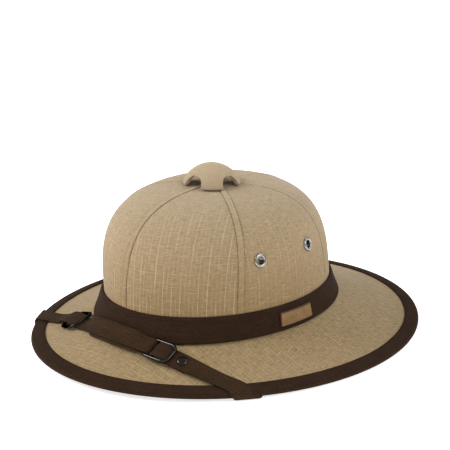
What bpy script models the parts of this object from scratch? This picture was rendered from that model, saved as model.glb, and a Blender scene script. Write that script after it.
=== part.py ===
"""A pith helmet: a moulded crown and brim covered in sand-coloured cloth, a dark
hatband and edge binding, a vent cap, four eyelets and a chin strap laid over the brim.

Metres, +Z up. The hat rests on its rim with its front towards -Y, so +X is the
wearer's left. The origin is at the middle of the hat's footprint, on the surface
that it rests on. Heights that start at the rim are counted from RIM_LEVEL.
"""

import math
from collections import namedtuple

import bmesh
import bpy
from mathutils import Matrix, Vector

# ---- driving dimensions -------------------------------------------------------

GAP = 0.0003                 # clearance between pieces that touch

# finished outline of the brim, and the height of its edge
RIM_HALF_LENGTH = 0.1689
RIM_HALF_WIDTH = 0.1461
RIM_SET_BACK = 0.0059        # how far behind the middle the brim is widest
RIM_WAVE = 0.0015            # front and back turn up, the sides turn down
RIM_LEVEL = 0.00497

# brim: a dished ring from its edge up to the crown's foot
BRIM_THICK = 0.0030
BRIM_RISE = 0.0193           # rim level to the middle of the brim at the foot
BRIM_DISH = 0.62             # 1 is a straight slope, less is flatter at the edge
BINDING_THICK = 0.0009
BINDING_WIDTH = 0.0120
BINDING_BRIDGE = 0.0100      # a strap leaves the brim's cloth this far before it

# crown: a tapering elliptical wall, then a superellipse dome that leans slightly
CROWN_MIDDLE_Y = -0.00855
FOOT_LEVEL = 0.0209
FOOT_HALF_LENGTH = 0.1096
FOOT_HALF_WIDTH = 0.0845
WALL_LEVEL = 0.0400
WALL_HALF_LENGTH = 0.1004
WALL_HALF_WIDTH = 0.0808
DOME_RISE = 0.0797
DOME_POWER = 3.2
LEAN_X = -0.0040
LEAN_Y = -0.0030
CROWN_THICK = 0.0030
CROWN_LOW_LEVEL = 0.0228     # lower edge of the crown's wall, outside and inside
CROWN_LOW_INSIDE = 0.0240

COLLAR_GAP = 0.0009          # the crown's facets cut the corner of its curve
COLLAR_THICK = 0.0025
COLLAR_LEVEL = 0.0340

# seams between the crown's six panels
PANELS = 6
SEAM_HALF_WIDTH = 0.0030
SEAM_RELIEF = 0.0009
SEAM_FADE_FOOT = (0.0415, 0.0450)    # levels between which a seam comes up
SEAM_TOP_RADIUS = 0.016      # nearer the middle than this a seam narrows

# hatband
BAND_GAP = 0.0006
BAND_THICK = 0.0014
BAND_LOW_LEVEL = 0.0216
BAND_TOP_LEVEL = 0.0410
BAND_HEM = 0.0030
BAND_HEM_RELIEF = 0.0003

# label patch, on the hatband at the wearer's left
PATCH_LENGTH = 0.0345
PATCH_LOW_LEVEL = 0.0252
PATCH_TOP_LEVEL = 0.0362
PATCH_THICK = 0.0014
PATCH_BORDER = 0.0012
PATCH_SINK = 0.0003

# vent cap and its post
CAP_RADIUS = 0.0254          # of the sphere that the cap is part of
CAP_EDGE_RADIUS = 0.0229     # of its edge, seen from above
CAP_TOP_LEVEL = 0.1363
CAP_THICK = 0.0030
CAP_CLEAR = 0.0015           # the tabs' ends stand this far off the crown
CAP_TABS = 4
CAP_TAB_HALF_WIDTH = 0.0089
CAP_ARCH_HEIGHT = 0.0085
VENT_HOLE_RADIUS = 0.0034
POST_RADIUS = 0.0030
POST_HEAD_RADIUS = 0.0080
POST_HEAD_THICK = 0.0015

# eyelets
EYELET_LEVEL = 0.0795
EYELET_SPREAD = math.radians(16.3)   # each side of the crown's side line
EYELET_HOLE = 0.0030
EYELET_TUBE = 0.0035
EYELET_FLANGE = 0.0054
EYELET_HEIGHT = 0.0013
EYELET_BACK = 0.0007

# chin strap
STRAP_WIDTH = 0.0148
STRAP_THICK = 0.0012
# angles of the rim, and of the collar, that the strap's front and rear edges reach
STRAP_WRAP_LONG = (math.radians(-55.8), math.radians(-48.3))
STRAP_WRAP_SHORT = (math.radians(57.2), math.radians(49.9))
STRAP_SKEW_SHORT = math.radians(2.0)    # the short strap crosses the edge aslant
STRAP_COLLAR_LONG = (math.radians(-80.0), math.radians(-66.0))
STRAP_COLLAR_SHORT = (math.radians(80.0), math.radians(66.0))
STRAP_CLIMB = (0.0245, 0.0290, 0.0350)       # levels up the collar; the pin is at the second

# metal loops on the strap
BAR_RADIUS = 0.0009
RING_CORNERS = (0.0066, 0.0020)      # at the outer bar, at the long strap's bar
SLIDER_BAR = 0.0011
SLIDER_END = 0.0040
SLIDER_THICK = 0.0020
SLIDER_CORNER = 0.0062
RIVET_RADIUS = 0.0042
RIVET_HEIGHT = 0.0016
RIVET_SHANK = 0.0014
RIVET_BACK = 0.0004
ANCHOR_HEAD = 0.0042
ANCHOR_THICK = 0.0010
ANCHOR_SHANK = 0.0015
ANCHOR_LENGTH = 0.0048

# ---- resolution ---------------------------------------------------------------

BRIM_COLUMNS = 60
PANEL_COLUMNS = 6            # spaces between two seams
DOME_RINGS = 10
DOME_RINGS_INSIDE = 5

Ellipse = namedtuple("Ellipse", "half_length half_width x y z")


# ---- materials and mesh helpers -----------------------------------------------

def make_material(name, colour, roughness, metallic=0.0):
    material = bpy.data.materials.new(name)
    material.use_nodes = True
    shader = material.node_tree.nodes["Principled BSDF"]
    shader.inputs["Base Color"].default_value = (*colour, 1.0)
    shader.inputs["Roughness"].default_value = roughness
    shader.inputs["Metallic"].default_value = metallic
    return material


def sand_cloth(name):
    return make_material(name, (0.42, 0.32, 0.19), 0.9)


def brown_cloth(name):
    return make_material(name, (0.035, 0.021, 0.014), 0.85)


def dark_metal(name):
    return make_material(name, (0.10, 0.10, 0.10), 0.3, 1.0)


def bright_metal(name):
    return make_material(name, (0.45, 0.45, 0.45), 0.25, 1.0)


def add_object(name, mesh_data, material, sharp_degrees=40.0):
    """Makes the object from a finished bmesh, with its faces pointing out."""
    bmesh.ops.recalc_face_normals(mesh_data, faces=mesh_data.faces)
    if mesh_data.calc_volume(signed=True) < 0.0:
        bmesh.ops.reverse_faces(mesh_data, faces=mesh_data.faces)
    mesh = bpy.data.meshes.new(name)
    mesh_data.to_mesh(mesh)
    mesh_data.free()
    mesh.materials.append(material)
    mesh.shade_smooth()
    mesh.set_sharp_from_angle(angle=math.radians(sharp_degrees))
    item = bpy.data.objects.new(name, mesh)
    bpy.context.scene.collection.objects.link(item)
    return item


def sweep(sections, closed):
    """A bmesh through equal rings of points; open ends get a cap."""
    mesh_data = bmesh.new()
    rings = [[mesh_data.verts.new(point) for point in section] for section in sections]
    count = len(rings[0])
    last = len(rings) if closed else len(rings) - 1
    for i in range(last):
        ring, following = rings[i], rings[(i + 1) % len(rings)]
        for j in range(count):
            k = (j + 1) % count
            mesh_data.faces.new((ring[j], ring[k], following[k], following[j]))
    if not closed:
        mesh_data.faces.new(rings[0])
        mesh_data.faces.new(rings[-1])
    return mesh_data


def turned(profile, segments, placing):
    """A bmesh turned about the local Z axis. Points are (radius, height), and a
    profile that starts and ends on the axis closes there with a single point."""
    mesh_data = bmesh.new()
    rings = []
    for radius, height in profile:
        if radius == 0.0:
            rings.append([mesh_data.verts.new((0.0, 0.0, height))] * segments)
            continue
        ring = []
        for i in range(segments):
            angle = 2.0 * math.pi * i / segments
            ring.append(mesh_data.verts.new(
                (radius * math.cos(angle), radius * math.sin(angle), height)))
        rings.append(ring)
    is_open = profile[0][0] == 0.0
    pairs = len(rings) - 1 if is_open else len(rings)
    for i in range(pairs):
        ring, following = rings[i], rings[(i + 1) % len(rings)]
        for j in range(segments):
            k = (j + 1) % segments
            corners = [ring[j], ring[k], following[k], following[j]]
            mesh_data.faces.new(list(dict.fromkeys(corners)))
    mesh_data.transform(placing)
    return mesh_data


def cut_round_hole(item, centre, axis, radius, length, segments=16):
    """Drills item with a Boolean, whose cutter stays hidden."""
    mesh_data = bmesh.new()
    bmesh.ops.create_cone(
        mesh_data, cap_ends=True, segments=segments,
        radius1=radius, radius2=radius, depth=length)
    mesh_data.transform(facing(centre, axis))
    cutter = add_object(item.name + "_cutter", mesh_data, item.data.materials[0])
    cutter.name = f"{item.name}_cutter_{len(item.modifiers)}"
    cutter.hide_render = True
    cutter.display_type = "WIRE"
    modifier = item.modifiers.new("hole", "BOOLEAN")
    modifier.operation = "DIFFERENCE"
    modifier.solver = "EXACT"
    modifier.object = cutter


def facing(centre, axis, along=None):
    """Placing whose local Z is axis and whose local X lies nearest to along."""
    up = Vector(axis).normalized()
    if along is None:
        along = Vector((0.0, 0.0, 1.0)) if abs(up.z) < 0.9 else Vector((1.0, 0.0, 0.0))
    side = up.cross(Vector(along)).normalized()
    forward = side.cross(up)
    placing = Matrix((forward, side, up)).transposed().to_4x4()
    placing.translation = Vector(centre)
    return placing


def mixed(first, second, share):
    return first + (second - first) * share


def smooth_share(value, start, end):
    share = min(1.0, max(0.0, (value - start) / (end - start)))
    return share * share * (3.0 - 2.0 * share)


def spline(points, per_span):
    """Points read from a Catmull-Rom curve through the given ones."""
    padded = [2 * points[0] - points[1], *points, 2 * points[-1] - points[-2]]
    read = []
    for i in range(1, len(padded) - 2):
        before, start, end, after = padded[i - 1:i + 3]
        for step in range(per_span):
            t = step / per_span
            read.append(0.5 * (
                2.0 * start + (end - before) * t
                + (2.0 * before - 5.0 * start + 4.0 * end - after) * t * t
                + (3.0 * start - before - 3.0 * end + after) * t * t * t))
    read.append(points[-1])
    return read


# ---- the hat's surfaces --------------------------------------------------------

def on_ellipse(ellipse, angle):
    """Angle 0 is the hat's front, and a quarter turn is the wearer's left."""
    return Vector((
        ellipse.x + ellipse.half_width * math.sin(angle),
        ellipse.y - ellipse.half_length * math.cos(angle),
        ellipse.z))


def wall_section(level, out=0.0):
    """The crown's wall at a level over the rim, out metres outside its surface."""
    share = min(1.0, (level - FOOT_LEVEL) / (WALL_LEVEL - FOOT_LEVEL))
    return Ellipse(
        mixed(FOOT_HALF_LENGTH, WALL_HALF_LENGTH, share) + out,
        mixed(FOOT_HALF_WIDTH, WALL_HALF_WIDTH, share) + out,
        0.0, CROWN_MIDDLE_Y, RIM_LEVEL + level)


def dome_section(turn, out=0.0):
    """The dome at a turn from 0, its widest, to a quarter circle, its top."""
    narrowing = math.cos(turn) ** (2.0 / DOME_POWER)
    climb = math.sin(turn) ** (2.0 / DOME_POWER)
    return Ellipse(
        (WALL_HALF_LENGTH + out) * narrowing,
        (WALL_HALF_WIDTH + out) * narrowing,
        LEAN_X * climb, CROWN_MIDDLE_Y + LEAN_Y * climb,
        RIM_LEVEL + WALL_LEVEL + (DOME_RISE + out) * climb)


def dome_turns(count):
    """Turns of the dome's rings, closer together near the wall."""
    highest = math.radians(84.0)
    return [highest * (i / count) ** 1.6 for i in range(1, count + 1)]


def dome_turn_at(level):
    climb = (level - WALL_LEVEL) / DOME_RISE
    return math.asin(climb ** (DOME_POWER / 2.0))


def dome_top_height(x, y):
    """Height of the crown's outer surface near its top."""
    across = (x - LEAN_X) / WALL_HALF_WIDTH
    along = (y - CROWN_MIDDLE_Y - LEAN_Y) / WALL_HALF_LENGTH
    share = math.hypot(across, along) ** DOME_POWER
    return RIM_LEVEL + WALL_LEVEL + DOME_RISE * (1.0 - share) ** (1.0 / DOME_POWER)


def crown_normal(angle, turn):
    """Outward direction of the dome's surface."""
    step = 0.001
    across = on_ellipse(dome_section(turn), angle + step) - on_ellipse(dome_section(turn), angle - step)
    up = on_ellipse(dome_section(turn + step), angle) - on_ellipse(dome_section(turn - step), angle)
    return across.cross(up).normalized()


def rim_outline(angle):
    """The finished brim's outermost line, seen from above."""
    return Vector((
        RIM_HALF_WIDTH * math.sin(angle),
        -RIM_HALF_LENGTH * math.cos(angle) + RIM_SET_BACK * math.sin(angle) ** 2))


CROWN_MIDDLE = Vector((0.0, CROWN_MIDDLE_Y))
EDGE_RADIUS = BRIM_THICK / 2.0 + GAP + BINDING_THICK


def foot_radius(direction, level=FOOT_LEVEL, out=0.0):
    """Distance from the crown's middle to its wall in a direction seen from above."""
    section = wall_section(level, out)
    return 1.0 / math.hypot(direction.x / section.half_width, direction.y / section.half_length)


def brim_middle(angle, inset):
    """Point half-way through the brim, inset metres inside the finished outline."""
    outline = rim_outline(angle) - CROWN_MIDDLE
    reach = outline.length
    direction = outline / reach
    share = (inset - EDGE_RADIUS) / (reach - foot_radius(direction) - EDGE_RADIUS)
    plan = CROWN_MIDDLE + direction * (reach - inset)
    edge = RIM_WAVE * math.cos(2.0 * angle)
    climb = BRIM_DISH * share + (1.0 - BRIM_DISH) * share * share
    return Vector((plan.x, plan.y, RIM_LEVEL + edge + (BRIM_RISE - edge) * climb))


def brim_frame(angle, inset):
    """The brim's middle there, its upward normal and its outward slope."""
    step = 0.0005
    outward = brim_middle(angle, inset - step) - brim_middle(angle, inset + step)
    outward.normalize()
    sideways = Vector((-outward.y, outward.x, 0.0))
    return brim_middle(angle, inset), outward.cross(sideways).normalized(), outward


def brim_point(angle, inset, offset):
    """A point offset metres above the brim's middle, square to it."""
    middle, normal, _ = brim_frame(angle, inset)
    return middle + normal * offset


def edge_point(angle, radius, turn):
    """A point on a round edge: turn 90 degrees is on top, 0 is outermost."""
    middle, normal, outward = brim_frame(angle, EDGE_RADIUS)
    return middle + (normal * math.sin(turn) + outward * math.cos(turn)) * radius


def collar_point(angle, level, out):
    """A point of the brim's collar: out metres outside the crown's wall at a level."""
    direction = (rim_outline(angle) - CROWN_MIDDLE).normalized()
    plan = CROWN_MIDDLE + direction * foot_radius(direction, level, out)
    return Vector((plan.x, plan.y, RIM_LEVEL + level))


def collar_foot(angle, level, out, side):
    """Where the collar meets the brim's top (side 1) or underside (side -1)."""
    point = collar_point(angle, level, out)
    inset = (rim_outline(angle) - point.to_2d()).length
    middle, normal, _ = brim_frame(angle, inset)
    point.z = middle.z + side * 0.5 * BRIM_THICK / normal.z
    return point


def rim_angle(plan):
    """Angle of the rim that a point seen from above belongs to."""
    wanted = (plan - CROWN_MIDDLE).normalized()
    angle = math.atan2(wanted.x, -wanted.y)
    for _ in range(12):
        have = (rim_outline(angle) - CROWN_MIDDLE).normalized()
        angle += math.atan2(wanted.x, -wanted.y) - math.atan2(have.x, -have.y)
    return angle


def brim_height(plan, side):
    """Height of the brim's top (side 1) or underside (side -1) with its binding."""
    angle = rim_angle(plan)
    inset = (rim_outline(angle) - CROWN_MIDDLE).length - (plan - CROWN_MIDDLE).length
    middle, normal, _ = brim_frame(angle, inset)
    bridge = (inset - BINDING_WIDTH) / BINDING_BRIDGE
    skin = (GAP + BINDING_THICK) * (1.0 - min(1.0, max(0.0, bridge)))
    return middle.z + side * (BRIM_THICK / 2.0 + skin) / normal.z


def top_height(plan):
    """Height of whatever lies on top of the brim: its cloth, binding or the hatband."""
    reach = (plan - CROWN_MIDDLE).length
    direction = (plan - CROWN_MIDDLE) / reach
    out = BAND_GAP + BAND_THICK + BAND_HEM_RELIEF
    low = foot_radius(direction, BAND_LOW_LEVEL, out)
    top = foot_radius(direction, BAND_TOP_LEVEL, out)
    share = (low - reach) / (low - top)
    height = brim_height(plan, 1.0)
    if share > 0.0:
        band = RIM_LEVEL + mixed(BAND_LOW_LEVEL, BAND_TOP_LEVEL, share)
        height = max(height, band)
    return height


# ---- crown and brim -------------------------------------------------------------

def crown_angles(section, out_of_line):
    """Angles of the crown's columns on one ring, with how far up a seam each is."""
    columns = []
    local = math.hypot(section.half_length, section.half_width) / math.sqrt(2.0)
    half = SEAM_HALF_WIDTH * min(1.0, local / SEAM_TOP_RADIUS) / max(local, SEAM_TOP_RADIUS)
    panel = 2.0 * math.pi / PANELS
    for i in range(PANELS):
        seam = i * panel
        for offset, height in ((-1.0, 0.0), (-0.7, 0.8), (0.0, 1.0), (0.7, 0.8), (1.0, 0.0)):
            columns.append((seam + offset * half, height * out_of_line))
        for j in range(1, PANEL_COLUMNS):
            share = j / PANEL_COLUMNS
            columns.append((mixed(seam + half, seam + panel - half, share), 0.0))
    return columns


def seam_strength(section):
    """Seams fade under the hatband and under the vent cap."""
    foot = smooth_share(section.z - RIM_LEVEL, *SEAM_FADE_FOOT)
    return foot * smooth_share(section.half_width, VENT_HOLE_RADIUS, 0.010)


def make_crown():
    # each entry gives a ring's section for a distance outside the surface
    outside = [lambda out, level=level: wall_section(level, out)
               for level in (CROWN_LOW_LEVEL, SEAM_FADE_FOOT[0])]
    outside.append(lambda out: dome_section(dome_turn_at(SEAM_FADE_FOOT[1]), out))
    outside += [lambda out, turn=turn: dome_section(turn, out) for turn in dome_turns(DOME_RINGS)]
    inside = [lambda out, turn=turn: dome_section(turn, out)
              for turn in reversed(dome_turns(DOME_RINGS_INSIDE))]
    inside.append(lambda out: wall_section(WALL_LEVEL, out))
    inside.append(lambda out: wall_section(CROWN_LOW_INSIDE, out))
    top = dome_section(math.radians(90.0))
    hole = [top._replace(half_length=VENT_HOLE_RADIUS, half_width=VENT_HOLE_RADIUS, z=z)
            for z in (top.z, top.z - CROWN_THICK)]
    rings = []
    for section_at in outside:
        surface = section_at(0.0)
        strength = seam_strength(surface)
        rings.append([on_ellipse(section_at(SEAM_RELIEF * height), angle)
                      for angle, height in crown_angles(surface, strength)])
    rings += [[on_ellipse(section, angle) for angle, _ in crown_angles(section, 0.0)]
              for section in hole]
    for section_at in inside:
        section = section_at(-CROWN_THICK)
        rings.append([on_ellipse(section, angle) for angle, _ in crown_angles(section, 0.0)])
    crown = add_object("crown", sweep(rings, True), sand_cloth("crown_cloth"), 35.0)
    for _, angle in eyelet_places():
        centre, axis = eyelet_seat(angle)
        cut_round_hole(crown, centre, axis, EYELET_TUBE + GAP, 4.0 * CROWN_THICK, 12)
    return crown


def brim_section(angle):
    """The brim's outline at an angle, from the top of its edge round to its underside."""
    half = BRIM_THICK / 2.0
    outer = -CROWN_THICK - COLLAR_GAP
    inner = outer - COLLAR_THICK
    outline = rim_outline(angle) - CROWN_MIDDLE
    wall = outline.length - foot_radius(outline.normalized())
    insets = [BINDING_WIDTH + 0.001, mixed(EDGE_RADIUS, wall, 0.6)]
    points = [edge_point(angle, half, math.radians(turn)) for turn in (-90, -45, 0, 45, 90)]
    points += [brim_point(angle, inset, half) for inset in insets]
    points += [collar_foot(angle, CROWN_LOW_LEVEL, outer, 1.0),
               collar_point(angle, COLLAR_LEVEL, outer),
               collar_point(angle, COLLAR_LEVEL, inner),
               collar_foot(angle, FOOT_LEVEL, inner, -1.0)]
    points += [brim_point(angle, inset, -half) for inset in insets[::-1]]
    return points


def brim_angles():
    return [2.0 * math.pi * i / BRIM_COLUMNS for i in range(BRIM_COLUMNS)]


def make_brim():
    sections = [brim_section(angle) for angle in brim_angles()]
    brim = add_object("brim", sweep(sections, True), sand_cloth("brim_cloth"), 35.0)
    cut_anchor_hole(brim, anchor_place(STRAP_WRAP_LONG, STRAP_COLLAR_LONG))
    cut_anchor_hole(brim, anchor_place(STRAP_WRAP_SHORT, STRAP_COLLAR_SHORT))
    return brim


def binding_section(angle):
    """Tape folded over the brim's edge: its inner face, then its outer face."""
    inner = BRIM_THICK / 2.0 + GAP
    turns = (90, 45, 0, -45, -90)
    points = [brim_point(angle, BINDING_WIDTH, inner)]
    points += [edge_point(angle, inner, math.radians(turn)) for turn in turns]
    points += [brim_point(angle, BINDING_WIDTH, -inner), brim_point(angle, BINDING_WIDTH, -EDGE_RADIUS)]
    points += [edge_point(angle, EDGE_RADIUS, math.radians(turn)) for turn in reversed(turns)]
    points.append(brim_point(angle, BINDING_WIDTH, EDGE_RADIUS))
    return points


def make_binding():
    sections = [binding_section(angle) for angle in brim_angles()]
    return add_object("brim_binding", sweep(sections, True), brown_cloth("binding_cloth"), 50.0)


def band_rows():
    """(level, relief) of the hatband's outer face, from its foot to its top."""
    return ((BAND_LOW_LEVEL, BAND_HEM_RELIEF),
            (BAND_LOW_LEVEL + BAND_HEM, BAND_HEM_RELIEF),
            (BAND_LOW_LEVEL + 1.3 * BAND_HEM, 0.0),
            (BAND_TOP_LEVEL - 1.3 * BAND_HEM, 0.0),
            (BAND_TOP_LEVEL - BAND_HEM, BAND_HEM_RELIEF),
            (BAND_TOP_LEVEL, BAND_HEM_RELIEF))


def make_hatband():
    sections = []
    for angle in brim_angles():
        outer = [on_ellipse(wall_section(level, BAND_GAP + BAND_THICK + relief), angle)
                 for level, relief in band_rows()]
        inner = [on_ellipse(wall_section(level, BAND_GAP), angle)
                 for level in (BAND_TOP_LEVEL, BAND_LOW_LEVEL)]
        sections.append(outer + inner)
    return add_object("hatband", sweep(sections, True), brown_cloth("hatband_cloth"), 40.0)


def make_patch():
    """A thin leather plate bent round the band, with a sunk field inside its border."""
    side = math.radians(90.0)
    reach = wall_section(0.5 * (PATCH_LOW_LEVEL + PATCH_TOP_LEVEL)).half_length
    half_angle = 0.5 * PATCH_LENGTH / reach
    base = BAND_GAP + BAND_THICK + 1.5 * GAP
    border_angle = PATCH_BORDER / reach
    ends = [(-half_angle, 0.0), (-half_angle + border_angle, 0.0)]
    middle = half_angle - 1.5 * border_angle
    inner = [(mixed(-middle, middle, i / 6), PATCH_SINK) for i in range(7)]
    columns = ends + inner + [(-turn, sink) for turn, sink in reversed(ends)]
    low, top = PATCH_LOW_LEVEL, PATCH_TOP_LEVEL
    sections = []
    for turn, sink in columns:
        rows = ((low, 0.0), (low + PATCH_BORDER, 0.0), (low + 1.5 * PATCH_BORDER, sink),
                (top - 1.5 * PATCH_BORDER, sink), (top - PATCH_BORDER, 0.0), (top, 0.0))
        outer = [on_ellipse(wall_section(level, base + PATCH_THICK - depth), side + turn)
                 for level, depth in rows]
        back = [on_ellipse(wall_section(level, base), side + turn) for level in (top, low)]
        sections.append(outer + back)
    leather = make_material("patch_leather", (0.33, 0.20, 0.10), 0.6)
    return add_object("label_patch", sweep(sections, False), leather, 30.0)


# ---- vent cap, post and eyelets ---------------------------------------------------

def cap_middle():
    return Vector((LEAN_X, CROWN_MIDDLE_Y + LEAN_Y, RIM_LEVEL + CAP_TOP_LEVEL - CAP_RADIUS))


def cap_edge_height(plan, lift):
    return dome_top_height(plan.x, plan.y) + CAP_CLEAR + lift


def cap_columns():
    """(direction, height of the arch there) all the way round the cap."""
    tab = math.asin(CAP_TAB_HALF_WIDTH / CAP_EDGE_RADIUS)
    arch = math.pi / CAP_TABS - tab
    columns = []
    for i in range(CAP_TABS):
        middle = 2.0 * math.pi * i / CAP_TABS
        for j in range(9):
            share = -1.0 + j / 4.0
            lift = CAP_ARCH_HEIGHT * (1.0 - abs(share) ** 2.6) ** (1.0 / 2.6)
            columns.append((middle + arch * share, lift))
        tab_middle = middle + math.pi / CAP_TABS
        columns += [(tab_middle - 0.5 * tab, 0.0), (tab_middle, 0.0), (tab_middle + 0.5 * tab, 0.0)]
    return columns


def cap_line(direction, lift, radius, steps):
    """Points down one side of the cap, from near its top to its lower edge."""
    middle = cap_middle()
    outward = Vector((math.sin(direction), -math.cos(direction)))
    rim = Vector((middle.x, middle.y)) + outward * CAP_EDGE_RADIUS
    drop = (cap_edge_height(rim, lift) - middle.z) / radius
    lowest = math.acos(drop)
    points = []
    for i in range(1, steps + 1):
        turn = lowest * i / steps
        flat = outward * (radius * math.sin(turn))
        points.append(middle + Vector((flat.x, flat.y, radius * math.cos(turn))))
    return points


def make_vent_cap():
    mesh_data = bmesh.new()
    outer_top = mesh_data.verts.new(cap_middle() + Vector((0.0, 0.0, CAP_RADIUS)))
    inner_top = mesh_data.verts.new(cap_middle() + Vector((0.0, 0.0, CAP_RADIUS - CAP_THICK)))
    lines = []
    for direction, lift in cap_columns():
        outer = cap_line(direction, lift, CAP_RADIUS, 5)
        inner = cap_line(direction, lift, CAP_RADIUS - CAP_THICK, 4)
        lines.append([mesh_data.verts.new(point) for point in outer + inner[::-1]])
    for i, line in enumerate(lines):
        following = lines[(i + 1) % len(lines)]
        mesh_data.faces.new((outer_top, line[0], following[0]))
        mesh_data.faces.new((inner_top, following[-1], line[-1]))
        for j in range(len(line) - 1):
            mesh_data.faces.new((line[j], line[j + 1], following[j + 1], following[j]))
    return add_object("vent_cap", mesh_data, sand_cloth("cap_cloth"), 40.0)


def make_vent_post():
    """A pin with a head inside the crown and a plate under the cap."""
    inside = dome_top_height(LEAN_X, CROWN_MIDDLE_Y + LEAN_Y) - CROWN_THICK
    low = inside - 2.0 * GAP - POST_HEAD_THICK
    under_cap = cap_middle().z + math.sqrt((CAP_RADIUS - CAP_THICK) ** 2 - POST_HEAD_RADIUS ** 2)
    top = under_cap - 2.0 * GAP - low
    profile = (
        (0.0, 0.0), (POST_HEAD_RADIUS, 0.0), (POST_HEAD_RADIUS, POST_HEAD_THICK),
        (POST_RADIUS, POST_HEAD_THICK), (POST_RADIUS, top - POST_HEAD_THICK),
        (POST_HEAD_RADIUS, top - POST_HEAD_THICK), (POST_HEAD_RADIUS, top), (0.0, top))
    placing = Matrix.Translation((cap_middle().x, cap_middle().y, low))
    return add_object("vent_post", turned(profile, 12, placing), dark_metal("post_metal"))


def eyelet_places():
    quarter = math.radians(90.0)
    return (("eyelet_left_front", quarter - EYELET_SPREAD),
            ("eyelet_left_back", quarter + EYELET_SPREAD),
            ("eyelet_right_front", -quarter + EYELET_SPREAD),
            ("eyelet_right_back", -quarter - EYELET_SPREAD))


def eyelet_seat(angle):
    turn = dome_turn_at(EYELET_LEVEL)
    return on_ellipse(dome_section(turn), angle), crown_normal(angle, turn)


def make_eyelets():
    depth = -CROWN_THICK - 6.0 * GAP
    profile = (
        (EYELET_HOLE, depth - EYELET_BACK), (EYELET_HOLE, 0.6 * EYELET_HEIGHT),
        (mixed(EYELET_HOLE, EYELET_FLANGE, 0.3), EYELET_HEIGHT),
        (mixed(EYELET_HOLE, EYELET_FLANGE, 0.7), EYELET_HEIGHT),
        (EYELET_FLANGE, 2.0 * GAP), (EYELET_FLANGE - 0.0002, GAP),
        (EYELET_TUBE, GAP), (EYELET_TUBE, depth),
        (0.9 * EYELET_FLANGE, depth), (0.9 * EYELET_FLANGE, depth - EYELET_BACK))
    for name, angle in eyelet_places():
        centre, axis = eyelet_seat(angle)
        mesh_data = turned(profile, 12, facing(centre, axis))
        add_object(name, mesh_data, bright_metal(name + "_metal"), 45.0)


# ---- chin strap --------------------------------------------------------------------

StrapRow = namedtuple("StrapRow", "x y lift slant roll", defaults=(0.0, 0.0))
StrapFitting = namedtuple("StrapFitting", "x y lift turn roll")

# Middle of the strap seen from above, how far its hat side is lifted off what it
# lies on, how far its crown side runs ahead of its rim side, and how far its rim
# side is lifted further. Both straps are listed from the ring to the place where
# they turn round the edge of the brim.
LONG_ROUTE = (
    StrapRow(0.0200, -0.1206, 0.0026, 0.0, 0.0024),
    StrapRow(0.0110, -0.1216, 0.0024, 0.0, 0.0021),
    StrapRow(0.0020, -0.1219, 0.0024, 0.0, 0.0018),
    StrapRow(-0.0140, -0.1205, 0.0024, 0.0, 0.0009),
    StrapRow(-0.0270, -0.1180, 0.0022),
    StrapRow(-0.0380, -0.1150, 0.0008),
    StrapRow(-0.0465, -0.1128, 0.0004),
    StrapRow(-0.0520, -0.1113, 0.0018),
    StrapRow(-0.0580, -0.1096, 0.0034),
    StrapRow(-0.0650, -0.1078, 0.0038),
    StrapRow(-0.0700, -0.1065, 0.0033),
    StrapRow(-0.0760, -0.1054, 0.0014),
    StrapRow(-0.0860, -0.1040, 0.0003, 0.0010),
    StrapRow(-0.0980, -0.1025, 0.0003, 0.0035),
    StrapRow(-0.1080, -0.1015, 0.0003, 0.0060),
)
SHORT_ROUTE = (
    StrapRow(0.0770, -0.1080, 0.0031, 0.0, -0.0012),
    StrapRow(0.0860, -0.1060, 0.0024, 0.0010, -0.0012),
    StrapRow(0.0950, -0.1036, 0.0014, 0.0035, -0.0008),
    StrapRow(0.1030, -0.1010, 0.0004, 0.0055, -0.0002),
)
RETURN_SHIFT = 0.0015        # the folded-back layer lies this much nearer the rim
LONG_RETURN = (0.0195, 0.0110, 0.0020, -0.0140, -0.0240)

RING_PLACE = StrapFitting(0.0443, -0.1152, 0.0014, math.radians(11.5), -0.0006)
RING_BARS = (-0.0108, -0.0036, 0.0094)       # along the strap, from the long strap's bar
RING_HEIGHTS = (0.0024, 0.0034, 0.0054)
SLIDER_PLACE = StrapFitting(-0.0572, -0.1098, 0.0004, math.radians(-14.5), 0.0)
SLIDER_BARS = (-0.0104, 0.0104)
SLIDER_HEIGHTS = (0.0015, 0.0034)
RIVET_PLACE = 0.0188         # from the ring's middle, along the short strap
RIVET_END = 0.0060           # from the rivet to the folded strap's loose end
RIVET_DROP = 0.0004          # the strap falls this much from the ring to that end


def resting_row(plan, along, slant=0.0, roll=0.0):
    """Points across a strap that lies on the hat: crown side, middle, rim side."""
    across = Vector((-along.y, along.x))
    if across.dot(plan - CROWN_MIDDLE) < 0.0:
        across = -across
    low, high = 0.0, 0.5 * STRAP_WIDTH
    for _ in range(24):
        half = 0.5 * (low + high)
        crown_side = plan - across * half + along * slant
        rim_side = plan + across * half - along * slant
        rise = top_height(crown_side) - top_height(rim_side) - roll
        if math.hypot(2.0 * half, rise) > STRAP_WIDTH:
            high = half
        else:
            low = half
    row = [Vector((p.x, p.y, top_height(p) + GAP)) for p in (crown_side, plan, rim_side)]
    row[2].z += roll
    row[1].z = max(row[1].z, 0.5 * (row[0].z + row[2].z))
    return row


def lifted(rows, lifts):
    """Rows moved off the hat, each square to itself."""
    moved = []
    for i, (row, lift) in enumerate(zip(rows, lifts)):
        travel = rows[min(i + 1, len(rows) - 1)][1] - rows[max(i - 1, 0)][1]
        normal = travel.cross(row[2] - row[0]).normalized()
        if normal.z < 0.0:
            normal = -normal
        moved.append([point + normal * lift for point in row])
    return moved


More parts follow.
